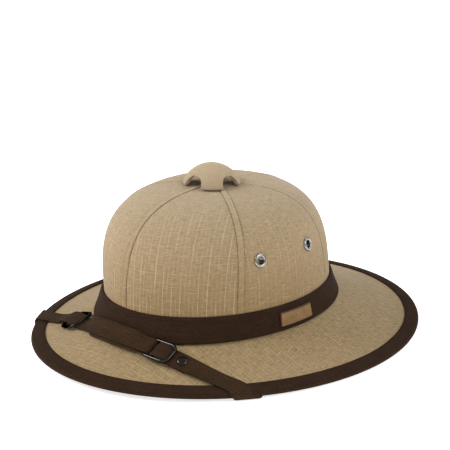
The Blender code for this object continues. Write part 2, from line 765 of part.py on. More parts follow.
def strap_on_top(route, per_span, shift=0.0, lift=None):
    """Rows of a strap along a route, read from a smooth curve through it."""
    keys = [Vector((row.x, row.y, row.lift)) for row in route]
    turns = [Vector((row.slant, row.roll)) for row in route]
    curve = spline(keys, per_span)
    turn_curve = spline(turns, per_span)
    rows, lifts = [], []
    for i, point in enumerate(curve):
        along = (curve[min(i + 1, len(curve) - 1)] - curve[max(i - 1, 0)]).to_2d().normalized()
        plan = point.to_2d()
        plan += (plan - CROWN_MIDDLE).normalized() * shift
        rows.append(resting_row(plan, along, *turn_curve[i]))
        lifts.append(point.z if lift is None else lift)
    return lifted(rows, lifts)


def strap_frame(place):
    """Placing of a ring or slider: X along the strap to the wearer's left, Y to the
    rim's side or away from it, Z off the hat."""
    along = Vector((math.cos(place.turn), math.sin(place.turn)))
    plan = Vector((place.x, place.y))
    rows = [resting_row(plan + along * reach, along, 0.0, place.roll) for reach in (-0.009, 0.0, 0.009)]
    forward = (rows[2][1] - rows[0][1]).normalized()
    across = sum((row[0] - row[2] for row in rows), Vector())
    up = forward.cross(across).normalized()
    side = up.cross(forward)
    placing = Matrix((forward, side, up)).transposed().to_4x4()
    middle = sum((row[0] + row[2] for row in rows), Vector()) / 6.0
    placing.translation = middle + up * (place.lift - GAP)
    return placing


def framed_row(frame, along, up):
    """Points across the strap at a place in a ring's or slider's frame."""
    half = 0.5 * STRAP_WIDTH
    return [frame @ Vector((along, across, up)) for across in (half, 0.0, -half)]


def fold_rows(frame, bar, height, turns):
    """The strap's inner face as it turns round a bar; turn 0 faces the wearer's left."""
    radius = BAR_RADIUS + 1.4 * GAP
    rows = []
    for turn in turns:
        angle = math.radians(turn)
        rows.append(framed_row(frame, bar + radius * math.cos(angle), height + radius * math.sin(angle)))
    return rows


def wrap_rows(angles, skew=0.0):
    """The strap's inner face as it turns round the brim's bound edge. It reaches the
    edge's top at a smaller angle from the front than its underside, by the skew."""
    span = (angles[0], 0.5 * (angles[0] + angles[1]), angles[1])
    radius = EDGE_RADIUS + 1.5 * GAP
    start, end = 80, -80
    rows = []
    for turn in (start, 50, 20, -10, -45, end):
        ahead = skew * (turn - end) / (start - end)
        rows.append([edge_point(angle - ahead, radius, math.radians(turn)) for angle in span])
    return rows


def hidden_rows(rim_angles, collar_angles):
    """Under the brim from its edge to the collar, then up the collar's inner face."""
    inner = -CROWN_THICK - COLLAR_GAP - COLLAR_THICK
    starts = [rim_outline(angle) for angle in rim_angles]
    ends = [collar_foot(angle, FOOT_LEVEL, inner, -1.0) for angle in collar_angles]
    rows = []
    for share in (0.16, 0.34, 0.52, 0.70, 0.88, 0.97):
        plans = [mixed(start, end.to_2d(), share) for start, end in zip(starts, ends)]
        rows.append([Vector((plan.x, plan.y, brim_height(plan, -1.0) - 2.0 * GAP)) for plan in plans])
    corner = []
    for end in ends:
        inward = (CROWN_MIDDLE - end.to_2d()).normalized() * 0.0004
        corner.append(end + Vector((inward.x, inward.y, -0.0004)))
    rows.append(corner)
    for level in STRAP_CLIMB:
        rows.append([collar_point(angle, level, inner - 2.0 * GAP) for angle in collar_angles])
    return [[first, 0.5 * (first + second), second] for first, second in rows]


def strap_mesh(rows, away):
    """A strip whose inner face has the given rows, thickened to one side of its travel."""
    sections = []
    for i, row in enumerate(rows):
        before = rows[max(i - 1, 0)]
        after = rows[min(i + 1, len(rows) - 1)]
        normal = (after[1] - before[1]).cross(row[2] - row[0]).normalized()
        outer = [point + normal * (away * STRAP_THICK) for point in row]
        sections.append(row + outer[::-1])
    return sweep(sections, False)


def return_rows(route, xs):
    """The folded-back layer under the first stretch of a route, from its loose end."""
    keys = sorted(route, key=lambda row: row.x)
    found = []
    for x in xs:
        for first, second in zip(keys, keys[1:]):
            if first.x <= x <= second.x:
                share = (x - first.x) / (second.x - first.x)
                found.append(StrapRow(x, mixed(first.y, second.y, share), 0.0, 0.0,
                                      mixed(first.roll, second.roll, share)))
                break
    rows = strap_on_top(found, 2, RETURN_SHIFT, STRAP_THICK + 1.5 * GAP)
    return rows[::-1]


def make_strap_long():
    frame = strap_frame(RING_PLACE)
    bar, height = RING_BARS[0], RING_HEIGHTS[0]
    rows = return_rows(LONG_ROUTE, LONG_RETURN)
    rows += [framed_row(frame, bar - 0.003, height - BAR_RADIUS + GAP)]
    rows += fold_rows(frame, bar, height, (-90, -54, -18, 18, 54, 90))
    rows += [framed_row(frame, bar - 0.006, height + 0.0002)]
    rows += strap_on_top(LONG_ROUTE, 2)
    rows += wrap_rows(STRAP_WRAP_LONG) + hidden_rows(STRAP_WRAP_LONG, STRAP_COLLAR_LONG)
    strap = add_object("strap_long", strap_mesh(rows, 1.0), brown_cloth("strap_long_cloth"), 50.0)
    cut_anchor_hole(strap, anchor_place(STRAP_WRAP_LONG, STRAP_COLLAR_LONG))
    return strap


def short_strap_height(along):
    """Height of the short strap's underside in the ring's frame, past the ring."""
    start, end = RING_BARS[2], RIVET_PLACE + RIVET_END
    under = RING_HEIGHTS[2] - BAR_RADIUS - 1.7 * GAP - STRAP_THICK
    return under - RIVET_DROP * max(0.0, along - start) / (end - start)


def make_strap_short():
    frame = strap_frame(RING_PLACE)
    bar, height = RING_BARS[1], RING_HEIGHTS[1]
    outer, end = RING_BARS[2], RIVET_PLACE + RIVET_END
    past = (outer - 0.003, outer, RIVET_PLACE, end)
    rows = [framed_row(frame, along, short_strap_height(along) - GAP) for along in reversed(past)]
    rows += fold_rows(frame, bar, height, (-90, -126, -162, -198, -234, -270))
    rows.append(framed_row(frame, bar + 0.004, height + 0.0009))
    rows += [framed_row(frame, along, short_strap_height(along)) for along in past]
    rows += strap_on_top(SHORT_ROUTE, 2)
    rows += wrap_rows(STRAP_WRAP_SHORT, STRAP_SKEW_SHORT) + hidden_rows(STRAP_WRAP_SHORT, STRAP_COLLAR_SHORT)
    strap = add_object("strap_short", strap_mesh(rows, -1.0), brown_cloth("strap_short_cloth"), 50.0)
    placing = rivet_place()
    cut_round_hole(strap, placing @ Vector((0.0, 0.0, -0.5 * GAP)), placing.col[2].to_3d(),
                   RIVET_SHANK + GAP, 2.0 * (STRAP_THICK + GAP) + GAP, 12)
    cut_anchor_hole(strap, anchor_place(STRAP_WRAP_SHORT, STRAP_COLLAR_SHORT))
    return strap


def rivet_place():
    """On the short strap's underside, square to it."""
    frame = strap_frame(RING_PLACE)
    first, second = (frame @ Vector((along, 0.0, short_strap_height(along)))
                     for along in (RIVET_PLACE, RIVET_PLACE + RIVET_END))
    side = frame.col[1].to_3d()
    return facing(first, (second - first).cross(side), second - first)


def make_rivet():
    """A domed cap on the short strap, a shank through both layers and a flange below."""
    back = -STRAP_THICK - 2.0 * GAP
    seat = STRAP_THICK + GAP
    profile = (
        (0.0, back - RIVET_BACK), (0.7 * RIVET_RADIUS, back - RIVET_BACK), (0.7 * RIVET_RADIUS, back),
        (RIVET_SHANK, back), (RIVET_SHANK, seat), (RIVET_RADIUS, seat),
        (RIVET_RADIUS, seat + 0.3 * RIVET_HEIGHT), (0.85 * RIVET_RADIUS, seat + 0.7 * RIVET_HEIGHT),
        (0.5 * RIVET_RADIUS, seat + 0.95 * RIVET_HEIGHT), (0.0, seat + RIVET_HEIGHT))
    return add_object("strap_rivet", turned(profile, 16, rivet_place()), dark_metal("rivet_metal"))


def anchor_place(rim_angles, collar_angles):
    """On the strap's hat side where it climbs the collar, facing into the hat."""
    rows = hidden_rows(rim_angles, collar_angles)
    climb = rows[-1][1] - rows[-3][1]
    axis = climb.cross(rows[-2][2] - rows[-2][0])
    middle = rows[-2][1]
    if axis.to_2d().dot(CROWN_MIDDLE - middle.to_2d()) < 0.0:
        axis = -axis
    return facing(middle, axis)


def cut_anchor_hole(item, placing):
    centre = placing @ Vector((0.0, 0.0, -0.5 * ANCHOR_LENGTH + STRAP_THICK))
    cut_round_hole(item, centre, placing.col[2].to_3d(), ANCHOR_SHANK + GAP, ANCHOR_LENGTH + 0.003, 12)


def make_anchor(name, rim_angles, collar_angles):
    """A plain pin through the strap's end and the collar, with a flat head."""
    head = STRAP_THICK + GAP
    profile = (
        (0.0, head - ANCHOR_LENGTH), (ANCHOR_SHANK, head - ANCHOR_LENGTH), (ANCHOR_SHANK, head),
        (ANCHOR_HEAD, head), (ANCHOR_HEAD, head + ANCHOR_THICK), (0.0, head + ANCHOR_THICK))
    placing = anchor_place(rim_angles, collar_angles)
    return add_object(name, turned(profile, 12, placing), dark_metal(name + "_metal"))


def rounded_outline(length, width, corners, steps):
    """Points round a rounded rectangle, the same count for every size. The two
    corner radii are those at its +X and -X ends."""
    points = []
    for i, (x, y) in enumerate(((1, 1), (-1, 1), (-1, -1), (1, -1))):
        corner = corners[0] if x > 0 else corners[1]
        for j in range(steps + 1):
            angle = 0.5 * math.pi * (i + j / steps)
            points.append(Vector((
                x * (0.5 * length - corner) + corner * math.cos(angle),
                y * (0.5 * width - corner) + corner * math.sin(angle))))
    return points


def loop_mesh(outline, inline, thick, placing):
    """A wire loop whose section is an ellipse between two outlines."""
    sections = []
    for outer, inner in zip(outline, inline):
        section = []
        for i in range(8):
            angle = 2.0 * math.pi * i / 8
            point = mixed(outer, inner, 0.5 - 0.5 * math.cos(angle))
            section.append(placing @ Vector((point.x, point.y, 0.5 * thick * math.sin(angle))))
        sections.append(section)
    return sweep(sections, True)


def tilted(frame, bars, heights):
    """The frame moved and tilted so that its X axis passes through two bars."""
    middle = Vector((0.5 * (bars[0] + bars[-1]), 0.0, 0.5 * (heights[0] + heights[-1])))
    slope = math.atan2(heights[-1] - heights[0], bars[-1] - bars[0])
    return frame @ Matrix.Translation(middle) @ Matrix.Rotation(-slope, 4, "Y")


def make_ring():
    placing = tilted(strap_frame(RING_PLACE), RING_BARS, RING_HEIGHTS)
    wire = 2.0 * BAR_RADIUS
    length = RING_BARS[2] - RING_BARS[0] + wire
    width = STRAP_WIDTH + 2.0 * GAP + 2.0 * wire
    ring = add_object("strap_ring", loop_mesh(
        rounded_outline(length, width, RING_CORNERS, 4),
        rounded_outline(length - 2.0 * wire, width - 2.0 * wire,
                        [corner - wire for corner in RING_CORNERS], 4),
        wire, placing), dark_metal("ring_metal"), 50.0)
    bar = bmesh.new()
    bmesh.ops.create_cone(bar, cap_ends=True, segments=8, radius1=0.9 * BAR_RADIUS,
                          radius2=0.9 * BAR_RADIUS, depth=width - wire)
    shift = RING_BARS[1] - 0.5 * (RING_BARS[0] + RING_BARS[2])
    bar.transform(placing @ Matrix.Translation((shift, 0.0, 0.0))
                  @ Matrix.Rotation(math.radians(90.0), 4, "X"))
    tool = add_object("strap_ring_bar", bar, ring.data.materials[0])
    tool.hide_render = True
    tool.display_type = "WIRE"
    modifier = ring.modifiers.new("bar", "BOOLEAN")
    modifier.operation = "UNION"
    modifier.solver = "EXACT"
    modifier.object = tool
    return ring


def make_slider():
    placing = tilted(strap_frame(SLIDER_PLACE), SLIDER_BARS, SLIDER_HEIGHTS)
    bar = 2.0 * SLIDER_BAR
    length = SLIDER_BARS[1] - SLIDER_BARS[0] + bar
    inside = STRAP_WIDTH + 3.0 * GAP
    return add_object("strap_slider", loop_mesh(
        rounded_outline(length, inside + 2.0 * SLIDER_END, (SLIDER_CORNER, SLIDER_CORNER), 4),
        rounded_outline(length - 2.0 * bar, inside, (0.0012, 0.0012), 4),
        SLIDER_THICK, placing), dark_metal("slider_metal"), 50.0)


# ---- the whole hat -----------------------------------------------------------------

def main():
    for item in list(bpy.data.objects):
        bpy.data.objects.remove(item)
    make_crown()
    make_brim()
    make_binding()
    make_hatband()
    make_patch()
    make_vent_cap()
    make_vent_post()
    make_eyelets()
    make_strap_long()
    make_strap_short()
    make_ring()
    make_slider()
    make_rivet()
    make_anchor("strap_anchor_left", STRAP_WRAP_SHORT, STRAP_COLLAR_SHORT)
    make_anchor("strap_anchor_right", STRAP_WRAP_LONG, STRAP_COLLAR_LONG)


main()
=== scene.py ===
"""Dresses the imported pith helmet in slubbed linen, dark cotton tape, leather and metal.

Metres, +Z up, front of the hat towards -Y. The driving dimensions and the surface
functions repeat those of the part's source, so that each piece here fills the space
of the solid that it stands for. Every cloth piece carries an attribute named "cloth",
its own position on the flat cloth in metres, which the weave is drawn from, and the
crown also one named "seam", the distance from the nearest seam.
"""

import math
from bisect import bisect_left
from collections import namedtuple
from functools import partial

import bmesh
import bpy
from mathutils import Matrix, Vector, noise


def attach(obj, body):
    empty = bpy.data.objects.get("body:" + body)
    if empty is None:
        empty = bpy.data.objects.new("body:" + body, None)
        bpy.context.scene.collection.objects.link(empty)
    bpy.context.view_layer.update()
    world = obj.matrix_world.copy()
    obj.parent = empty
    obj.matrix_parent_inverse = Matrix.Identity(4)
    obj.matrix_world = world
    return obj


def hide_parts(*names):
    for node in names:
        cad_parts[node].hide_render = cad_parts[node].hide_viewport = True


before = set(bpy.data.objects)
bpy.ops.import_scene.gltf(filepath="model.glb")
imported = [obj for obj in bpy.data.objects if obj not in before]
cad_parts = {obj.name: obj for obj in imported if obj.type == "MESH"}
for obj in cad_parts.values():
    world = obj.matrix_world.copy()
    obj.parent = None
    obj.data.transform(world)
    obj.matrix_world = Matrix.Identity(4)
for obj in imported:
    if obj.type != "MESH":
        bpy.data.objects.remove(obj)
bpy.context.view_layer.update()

# ---- driving dimensions, as in the part's source ---------------------------------

GAP = 0.0003

RIM_HALF_LENGTH = 0.1689
RIM_HALF_WIDTH = 0.1461
RIM_SET_BACK = 0.0059
RIM_WAVE = 0.0015
RIM_LEVEL = 0.00497

BRIM_THICK = 0.0030
BRIM_RISE = 0.0193
BRIM_DISH = 0.62
BINDING_THICK = 0.0009
BINDING_WIDTH = 0.0120
BINDING_BRIDGE = 0.0100

CROWN_MIDDLE_Y = -0.00855
FOOT_LEVEL = 0.0209
FOOT_HALF_LENGTH = 0.1096
FOOT_HALF_WIDTH = 0.0845
WALL_LEVEL = 0.0400
WALL_HALF_LENGTH = 0.1004
WALL_HALF_WIDTH = 0.0808
DOME_RISE = 0.0797
DOME_POWER = 3.2
LEAN_X = -0.0040
LEAN_Y = -0.0030
CROWN_THICK = 0.0030
CROWN_LOW_LEVEL = 0.0228
CROWN_LOW_INSIDE = 0.0240

COLLAR_GAP = 0.0009
COLLAR_THICK = 0.0025
COLLAR_LEVEL = 0.0340

PANELS = 6
SEAM_HALF_WIDTH = 0.0030
SEAM_RELIEF = 0.0007
SEAM_DENT = 0.86                         # how far across a seam's strip its dents lie
SEAM_GROOVE = SEAM_DENT * SEAM_HALF_WIDTH
SEAM_FADE_FOOT = (WALL_LEVEL + 0.001, WALL_LEVEL + 0.004)
SEAM_TOP_RADIUS = 0.016
SEAM_DRIFT = (-0.0009, 0.0040, 0.0021)   # at the foot, added half way up, and at the top
SEAM_SPREAD = 0.0047                     # the front panel is a little wider than the others
FRONT_PANEL_MIDDLE = math.radians(30.0)
FRONT_SEAMS = (0, 1)                     # the two seams beside the front panel

BAND_GAP = 0.0006
BAND_THICK = 0.0014
BAND_LOW_LEVEL = 0.0216
BAND_TOP_LEVEL = 0.0410
BAND_HEM = 0.0030
BAND_HEM_RELIEF = 0.0003
BAND_SOFT_RELIEF = 0.0001                # the band's cloth is a little uneven here

PATCH_LENGTH = 0.0345
PATCH_LOW_LEVEL = 0.0252
PATCH_TOP_LEVEL = 0.0362

CAP_RADIUS = 0.0254
CAP_EDGE_RADIUS = 0.0229
CAP_TOP_LEVEL = 0.1363
CAP_THICK = 0.0030
CAP_CLEAR = 0.0015
CAP_TABS = 4
CAP_TAB_HALF_WIDTH = 0.0089
CAP_ARCH_HEIGHT = 0.0085
CAP_ARCH_POWER = 2.6
CAP_ROUNDING = 0.0008
VENT_HOLE_RADIUS = 0.0034
SEAM_FADE_TOP = (VENT_HOLE_RADIUS, 0.010)
POST_RADIUS = 0.0030
POST_HEAD_RADIUS = 0.0080
POST_HEAD_THICK = 0.0015

EYELET_LEVEL = 0.0795
EYELET_SPREAD = math.radians(16.3)
EYELET_HOLE = 0.0030
EYELET_TUBE = 0.0035
EYELET_FLANGE = 0.0054
EYELET_HEIGHT = 0.0013
EYELET_BACK = 0.0007

STRAP_WIDTH = 0.0148
STRAP_THICK = 0.0012
STRAP_WRAP_LONG = (math.radians(-55.8), math.radians(-48.3))
STRAP_WRAP_SHORT = (math.radians(57.2), math.radians(49.9))
STRAP_SKEW_SHORT = math.radians(2.0)
STRAP_COLLAR_LONG = (math.radians(-80.0), math.radians(-66.0))
STRAP_COLLAR_SHORT = (math.radians(80.0), math.radians(66.0))
STRAP_CLIMB = (0.0245, 0.0290, 0.0350)
LONG_END = (STRAP_WRAP_LONG, STRAP_COLLAR_LONG)
SHORT_END = (STRAP_WRAP_SHORT, STRAP_COLLAR_SHORT)

BAR_RADIUS = 0.0009
RING_WIRE = 2.9 * BAR_RADIUS
RING_CORNERS = (0.0066, 0.0020)
SLIDER_BAR = 0.0011
SLIDER_END = 0.0040
SLIDER_THICK = 0.0020
SLIDER_CORNER = 0.0062
RIVET_RADIUS = 0.0042
RIVET_HEIGHT = 0.0016
RIVET_SHANK = 0.0014
RIVET_BACK = 0.0004
RIVET_HOLE_DEPTH = 0.0045
ANCHOR_HEAD = 0.0042
ANCHOR_THICK = 0.0010
ANCHOR_SHANK = 0.0015
ANCHOR_LENGTH = 0.0048
ANCHOR_HOLE_DEPTH = ANCHOR_LENGTH + 0.0030

Ellipse = namedtuple("Ellipse", "half_length half_width x y z")
StrapRow = namedtuple("StrapRow", "x y lift slant roll", defaults=(0.0, 0.0))
StrapFitting = namedtuple("StrapFitting", "x y lift turn roll")

LONG_ROUTE = [StrapRow(*row) for row in (
    (0.0200, -0.1206, 0.0026, 0.0, 0.0024),
    (0.0110, -0.1216, 0.0024, 0.0, 0.0021),
    (0.0020, -0.1219, 0.0024, 0.0, 0.0018),
    (-0.0140, -0.1205, 0.0024, 0.0, 0.0009),
    (-0.0270, -0.1180, 0.0022),
    (-0.0380, -0.1150, 0.0008),
    (-0.0465, -0.1128, 0.0004),
    (-0.0520, -0.1113, 0.0018),
    (-0.0580, -0.1096, 0.0034),
    (-0.0650, -0.1078, 0.0038),
    (-0.0700, -0.1065, 0.0033),
    (-0.0760, -0.1054, 0.0014),
    (-0.0860, -0.1040, 0.0003, 0.0010),
    (-0.0980, -0.1025, 0.0003, 0.0035),
    (-0.1080, -0.1015, 0.0003, 0.0060),
)]
SHORT_ROUTE = [StrapRow(*row) for row in (
    (0.0770, -0.1080, 0.0031, 0.0, -0.0012),
    (0.0860, -0.1060, 0.0024, 0.0010, -0.0012),
    (0.0950, -0.1036, 0.0014, 0.0035, -0.0008),
    (0.1030, -0.1010, 0.0004, 0.0055, -0.0002),
)]
RETURN_SHIFT = 0.0015
LONG_RETURN = (0.0195, 0.0110, 0.0020, -0.0140, -0.0240)

RING_PLACE = StrapFitting(0.0443, -0.1152, 0.0014, math.radians(11.5), -0.0006)
RING_BARS = (-0.0108, -0.0036, 0.0094)
RING_HEIGHTS = (0.0024, 0.0034, 0.0054)
SLIDER_PLACE = StrapFitting(-0.0572, -0.1098, 0.0004, math.radians(-14.5), 0.0)
SLIDER_BARS = (-0.0104, 0.0104)
SLIDER_HEIGHTS = (0.0015, 0.0034)
RIVET_PLACE = 0.0188
RIVET_END = 0.0060
RIVET_DROP = 0.0004

CROWN_MIDDLE = Vector((0.0, CROWN_MIDDLE_Y))
EDGE_RADIUS = BRIM_THICK / 2.0 + GAP + BINDING_THICK
PANEL = 2.0 * math.pi / PANELS
QUARTER = math.radians(90.0)
AROUND = 240                 # columns round the brim, binding and hatband
RING_CROWDING = 1.45

# the third value of the cloth positions, which sets the noise of these pieces apart
BINDING_CUT, BAND_CUT, STRAP_CUT, BRIM_CUT, CAP_CUT = 0.0, 3.0, 8.0, 17.0, 30.0


# ---- small helpers ----------------------------------------------------------------

def mixed(first, second, share):
    return first + (second - first) * share


def smooth_share(value, start, end):
    share = min(1.0, max(0.0, (value - start) / (end - start)))
    return share * share * (3.0 - 2.0 * share)


def raised(plan, height):
    return Vector((plan.x, plan.y, height))


def circle(steps):
    """(cosine, sine) at even steps round a circle."""
    turns = [2.0 * math.pi * i / steps for i in range(steps)]
    return [(math.cos(turn), math.sin(turn)) for turn in turns]


def lengths_along(points):
    """The running length at each point of a line."""
    lengths = [0.0]
    for first, second in zip(points, points[1:]):
        lengths.append(lengths[-1] + (second - first).length)
    return lengths


def neighbours(items, i):
    """The items before and after one of a list, or the item itself at the list's ends."""
    return items[max(i - 1, 0)], items[min(i + 1, len(items) - 1)]


def spans(points):
    """Each stretch between two points, with the points before and after it."""
    padded = [2 * points[0] - points[1], *points, 2 * points[-1] - points[-2]]
    return zip(padded, padded[1:], padded[2:], padded[3:])


def spline(points, steps=2):
    """Points read from a Catmull-Rom curve through the given ones."""
    read = []
    for before, start, end, after in spans(points):
        for step in range(steps):
            t = step / steps
            read.append(0.5 * (
                2.0 * start + (end - before) * t
                + (2.0 * before - 5.0 * start + 4.0 * end - after) * t * t
                + (3.0 * start - before - 3.0 * end + after) * t * t * t))
    return read + [points[-1]]


def centripetal(points, steps=4):
    """A smooth curve through unevenly spaced points, without overshoot at tight turns."""
    read = []
    for p in spans(points):
        t = [0.0]
        for first, second in zip(p, p[1:]):
            t.append(t[-1] + max(1e-5, (second - first).length) ** 0.5)
        for step in range(steps):
            s = mixed(t[1], t[2], step / steps)

            def between(first, second, start, end):
                return first * ((end - s) / (end - start)) + second * ((s - start) / (end - start))

            a = [between(p[k], p[k + 1], t[k], t[k + 1]) for k in range(3)]
            b = [between(a[k], a[k + 1], t[k], t[k + 2]) for k in range(2)]
            read.append(between(b[0], b[1], t[1], t[2]))
    return read + [points[-1]]


def frame_at(origin, forward, side, up):
    placing = Matrix((forward, side, up)).transposed().to_4x4()
    placing.translation = origin
    return placing


def facing(centre, axis, along=None):
    """Placing whose local Z is axis and whose local X lies nearest to along."""
    up = Vector(axis).normalized()
    if along is None:
        along = Vector((0.0, 0.0, 1.0)) if abs(up.z) < 0.9 else Vector((1.0, 0.0, 0.0))
    side = up.cross(along).normalized()
    return frame_at(centre, side.cross(up), side, up)


# ---- the hat's surfaces -----------------------------------------------------------

def on_ellipse(ellipse, angle):
    """Angle 0 is the hat's front, and a quarter turn is the wearer's left."""
    return Vector((
        ellipse.x + ellipse.half_width * math.sin(angle),
        ellipse.y - ellipse.half_length * math.cos(angle),
        ellipse.z))


def wall_section(level, out=0.0):
    share = min(1.0, (level - FOOT_LEVEL) / (WALL_LEVEL - FOOT_LEVEL))
    return Ellipse(
        mixed(FOOT_HALF_LENGTH, WALL_HALF_LENGTH, share) + out,
        mixed(FOOT_HALF_WIDTH, WALL_HALF_WIDTH, share) + out,
        0.0, CROWN_MIDDLE_Y, RIM_LEVEL + level)


def dome_section(turn, out=0.0):
    narrowing = max(0.0, math.cos(turn)) ** (2.0 / DOME_POWER)
    climb = math.sin(turn) ** (2.0 / DOME_POWER)
    return Ellipse(
        (WALL_HALF_LENGTH + out) * narrowing,
        (WALL_HALF_WIDTH + out) * narrowing,
        LEAN_X * climb, CROWN_MIDDLE_Y + LEAN_Y * climb,
        RIM_LEVEL + WALL_LEVEL + (DOME_RISE + out) * climb)


def dome_turns(steps, end):
    """The turns of rings up the dome, closer together near the wall."""
    return [end * (i / steps) ** RING_CROWDING for i in range(1, steps + 1)]


def dome_top_height(plan):
    across = (plan.x - LEAN_X) / WALL_HALF_WIDTH
    along = (plan.y - CROWN_MIDDLE_Y - LEAN_Y) / WALL_HALF_LENGTH
    share = math.hypot(across, along) ** DOME_POWER
    return RIM_LEVEL + WALL_LEVEL + DOME_RISE * (1.0 - share) ** (1.0 / DOME_POWER)


def crown_normal(angle, turn):
    step = 0.001
    here = dome_section(turn)
    across = on_ellipse(here, angle + step) - on_ellipse(here, angle - step)
    up = on_ellipse(dome_section(turn + step), angle) - on_ellipse(dome_section(turn - step), angle)
    return across.cross(up).normalized()


def rim_outline(angle):
    return Vector((
        RIM_HALF_WIDTH * math.sin(angle),
        -RIM_HALF_LENGTH * math.cos(angle) + RIM_SET_BACK * math.sin(angle) ** 2))


def foot_radius(direction, level=FOOT_LEVEL, out=0.0):
    section = wall_section(level, out)
    return 1.0 / math.hypot(direction.x / section.half_width, direction.y / section.half_length)


def brim_middle(angle, inset):
    outline = rim_outline(angle) - CROWN_MIDDLE
    reach = outline.length
    direction = outline / reach
    share = (inset - EDGE_RADIUS) / (reach - foot_radius(direction) - EDGE_RADIUS)
    edge = RIM_WAVE * math.cos(2.0 * angle)
    climb = BRIM_DISH * share + (1.0 - BRIM_DISH) * share * share
    return raised(CROWN_MIDDLE + direction * (reach - inset), RIM_LEVEL + edge + (BRIM_RISE - edge) * climb)


def brim_frame(angle, inset):
    """A point of the brim's middle surface, its normal, and the way out to the edge."""
    step = 0.0005
    outward = (brim_middle(angle, inset - step) - brim_middle(angle, inset + step)).normalized()
    sideways = Vector((-outward.y, outward.x, 0.0))
    return brim_middle(angle, inset), outward.cross(sideways).normalized(), outward


def brim_point(angle, inset, offset):
    middle, normal, _ = brim_frame(angle, inset)
    return middle + normal * offset


def edge_point(angle, radius, turn):
    middle, normal, outward = brim_frame(angle, EDGE_RADIUS)
    return middle + (normal * math.sin(turn) + outward * math.cos(turn)) * radius


def collar_point(angle, level, out):
    direction = (rim_outline(angle) - CROWN_MIDDLE).normalized()
    return raised(CROWN_MIDDLE + direction * foot_radius(direction, level, out), RIM_LEVEL + level)


def collar_foot(angle, level, out, side):
    """Where the collar's face meets the brim's upper (1) or lower (-1) face."""
    point = collar_point(angle, level, out)
    middle, normal, _ = brim_frame(angle, (rim_outline(angle) - point.to_2d()).length)
    point.z = middle.z + side * 0.5 * BRIM_THICK / normal.z
    return point


def rim_angle(plan):
    """The angle whose rim point lies behind a place, seen from the crown's middle."""
    wanted = (plan - CROWN_MIDDLE).normalized()
    angle = math.atan2(wanted.x, -wanted.y)
    for _ in range(12):
        have = (rim_outline(angle) - CROWN_MIDDLE).normalized()
        angle += math.atan2(wanted.x, -wanted.y) - math.atan2(have.x, -have.y)
    return angle


def brim_height(plan, side):
    """Height of the brim's upper (1) or lower (-1) face, over its binding near the edge."""
    angle = rim_angle(plan)
    inset = (rim_outline(angle) - CROWN_MIDDLE).length - (plan - CROWN_MIDDLE).length
    middle, normal, _ = brim_frame(angle, inset)
    bridge = (inset - BINDING_WIDTH) / BINDING_BRIDGE
    cover = (GAP + BINDING_THICK) * (1.0 - min(1.0, max(0.0, bridge)))
    return middle.z + side * (BRIM_THICK / 2.0 + cover) / normal.z


def top_height(plan):
    """Height of what a strap lies on: the brim, or the hatband beside it."""
    reach = (plan - CROWN_MIDDLE).length
    direction = (plan - CROWN_MIDDLE) / reach
    out = BAND_GAP + BAND_THICK + BAND_HEM_RELIEF
    low, top = (foot_radius(direction, level, out) for level in (BAND_LOW_LEVEL, BAND_TOP_LEVEL))
    share = (low - reach) / (low - top)
    height = brim_height(plan, 1.0)
    if share > 0.0:
        height = max(height, RIM_LEVEL + mixed(BAND_LOW_LEVEL, BAND_TOP_LEVEL, share))
    return height


def around(steps=AROUND):
    """Even angles round the hat."""
    return [2.0 * math.pi * i / steps for i in range(steps)]


def stitched_around():
    """The angles of a line of stitches all the way round."""
    return around(2 * AROUND) + [2.0 * math.pi]


# ---- materials --------------------------------------------------------------------

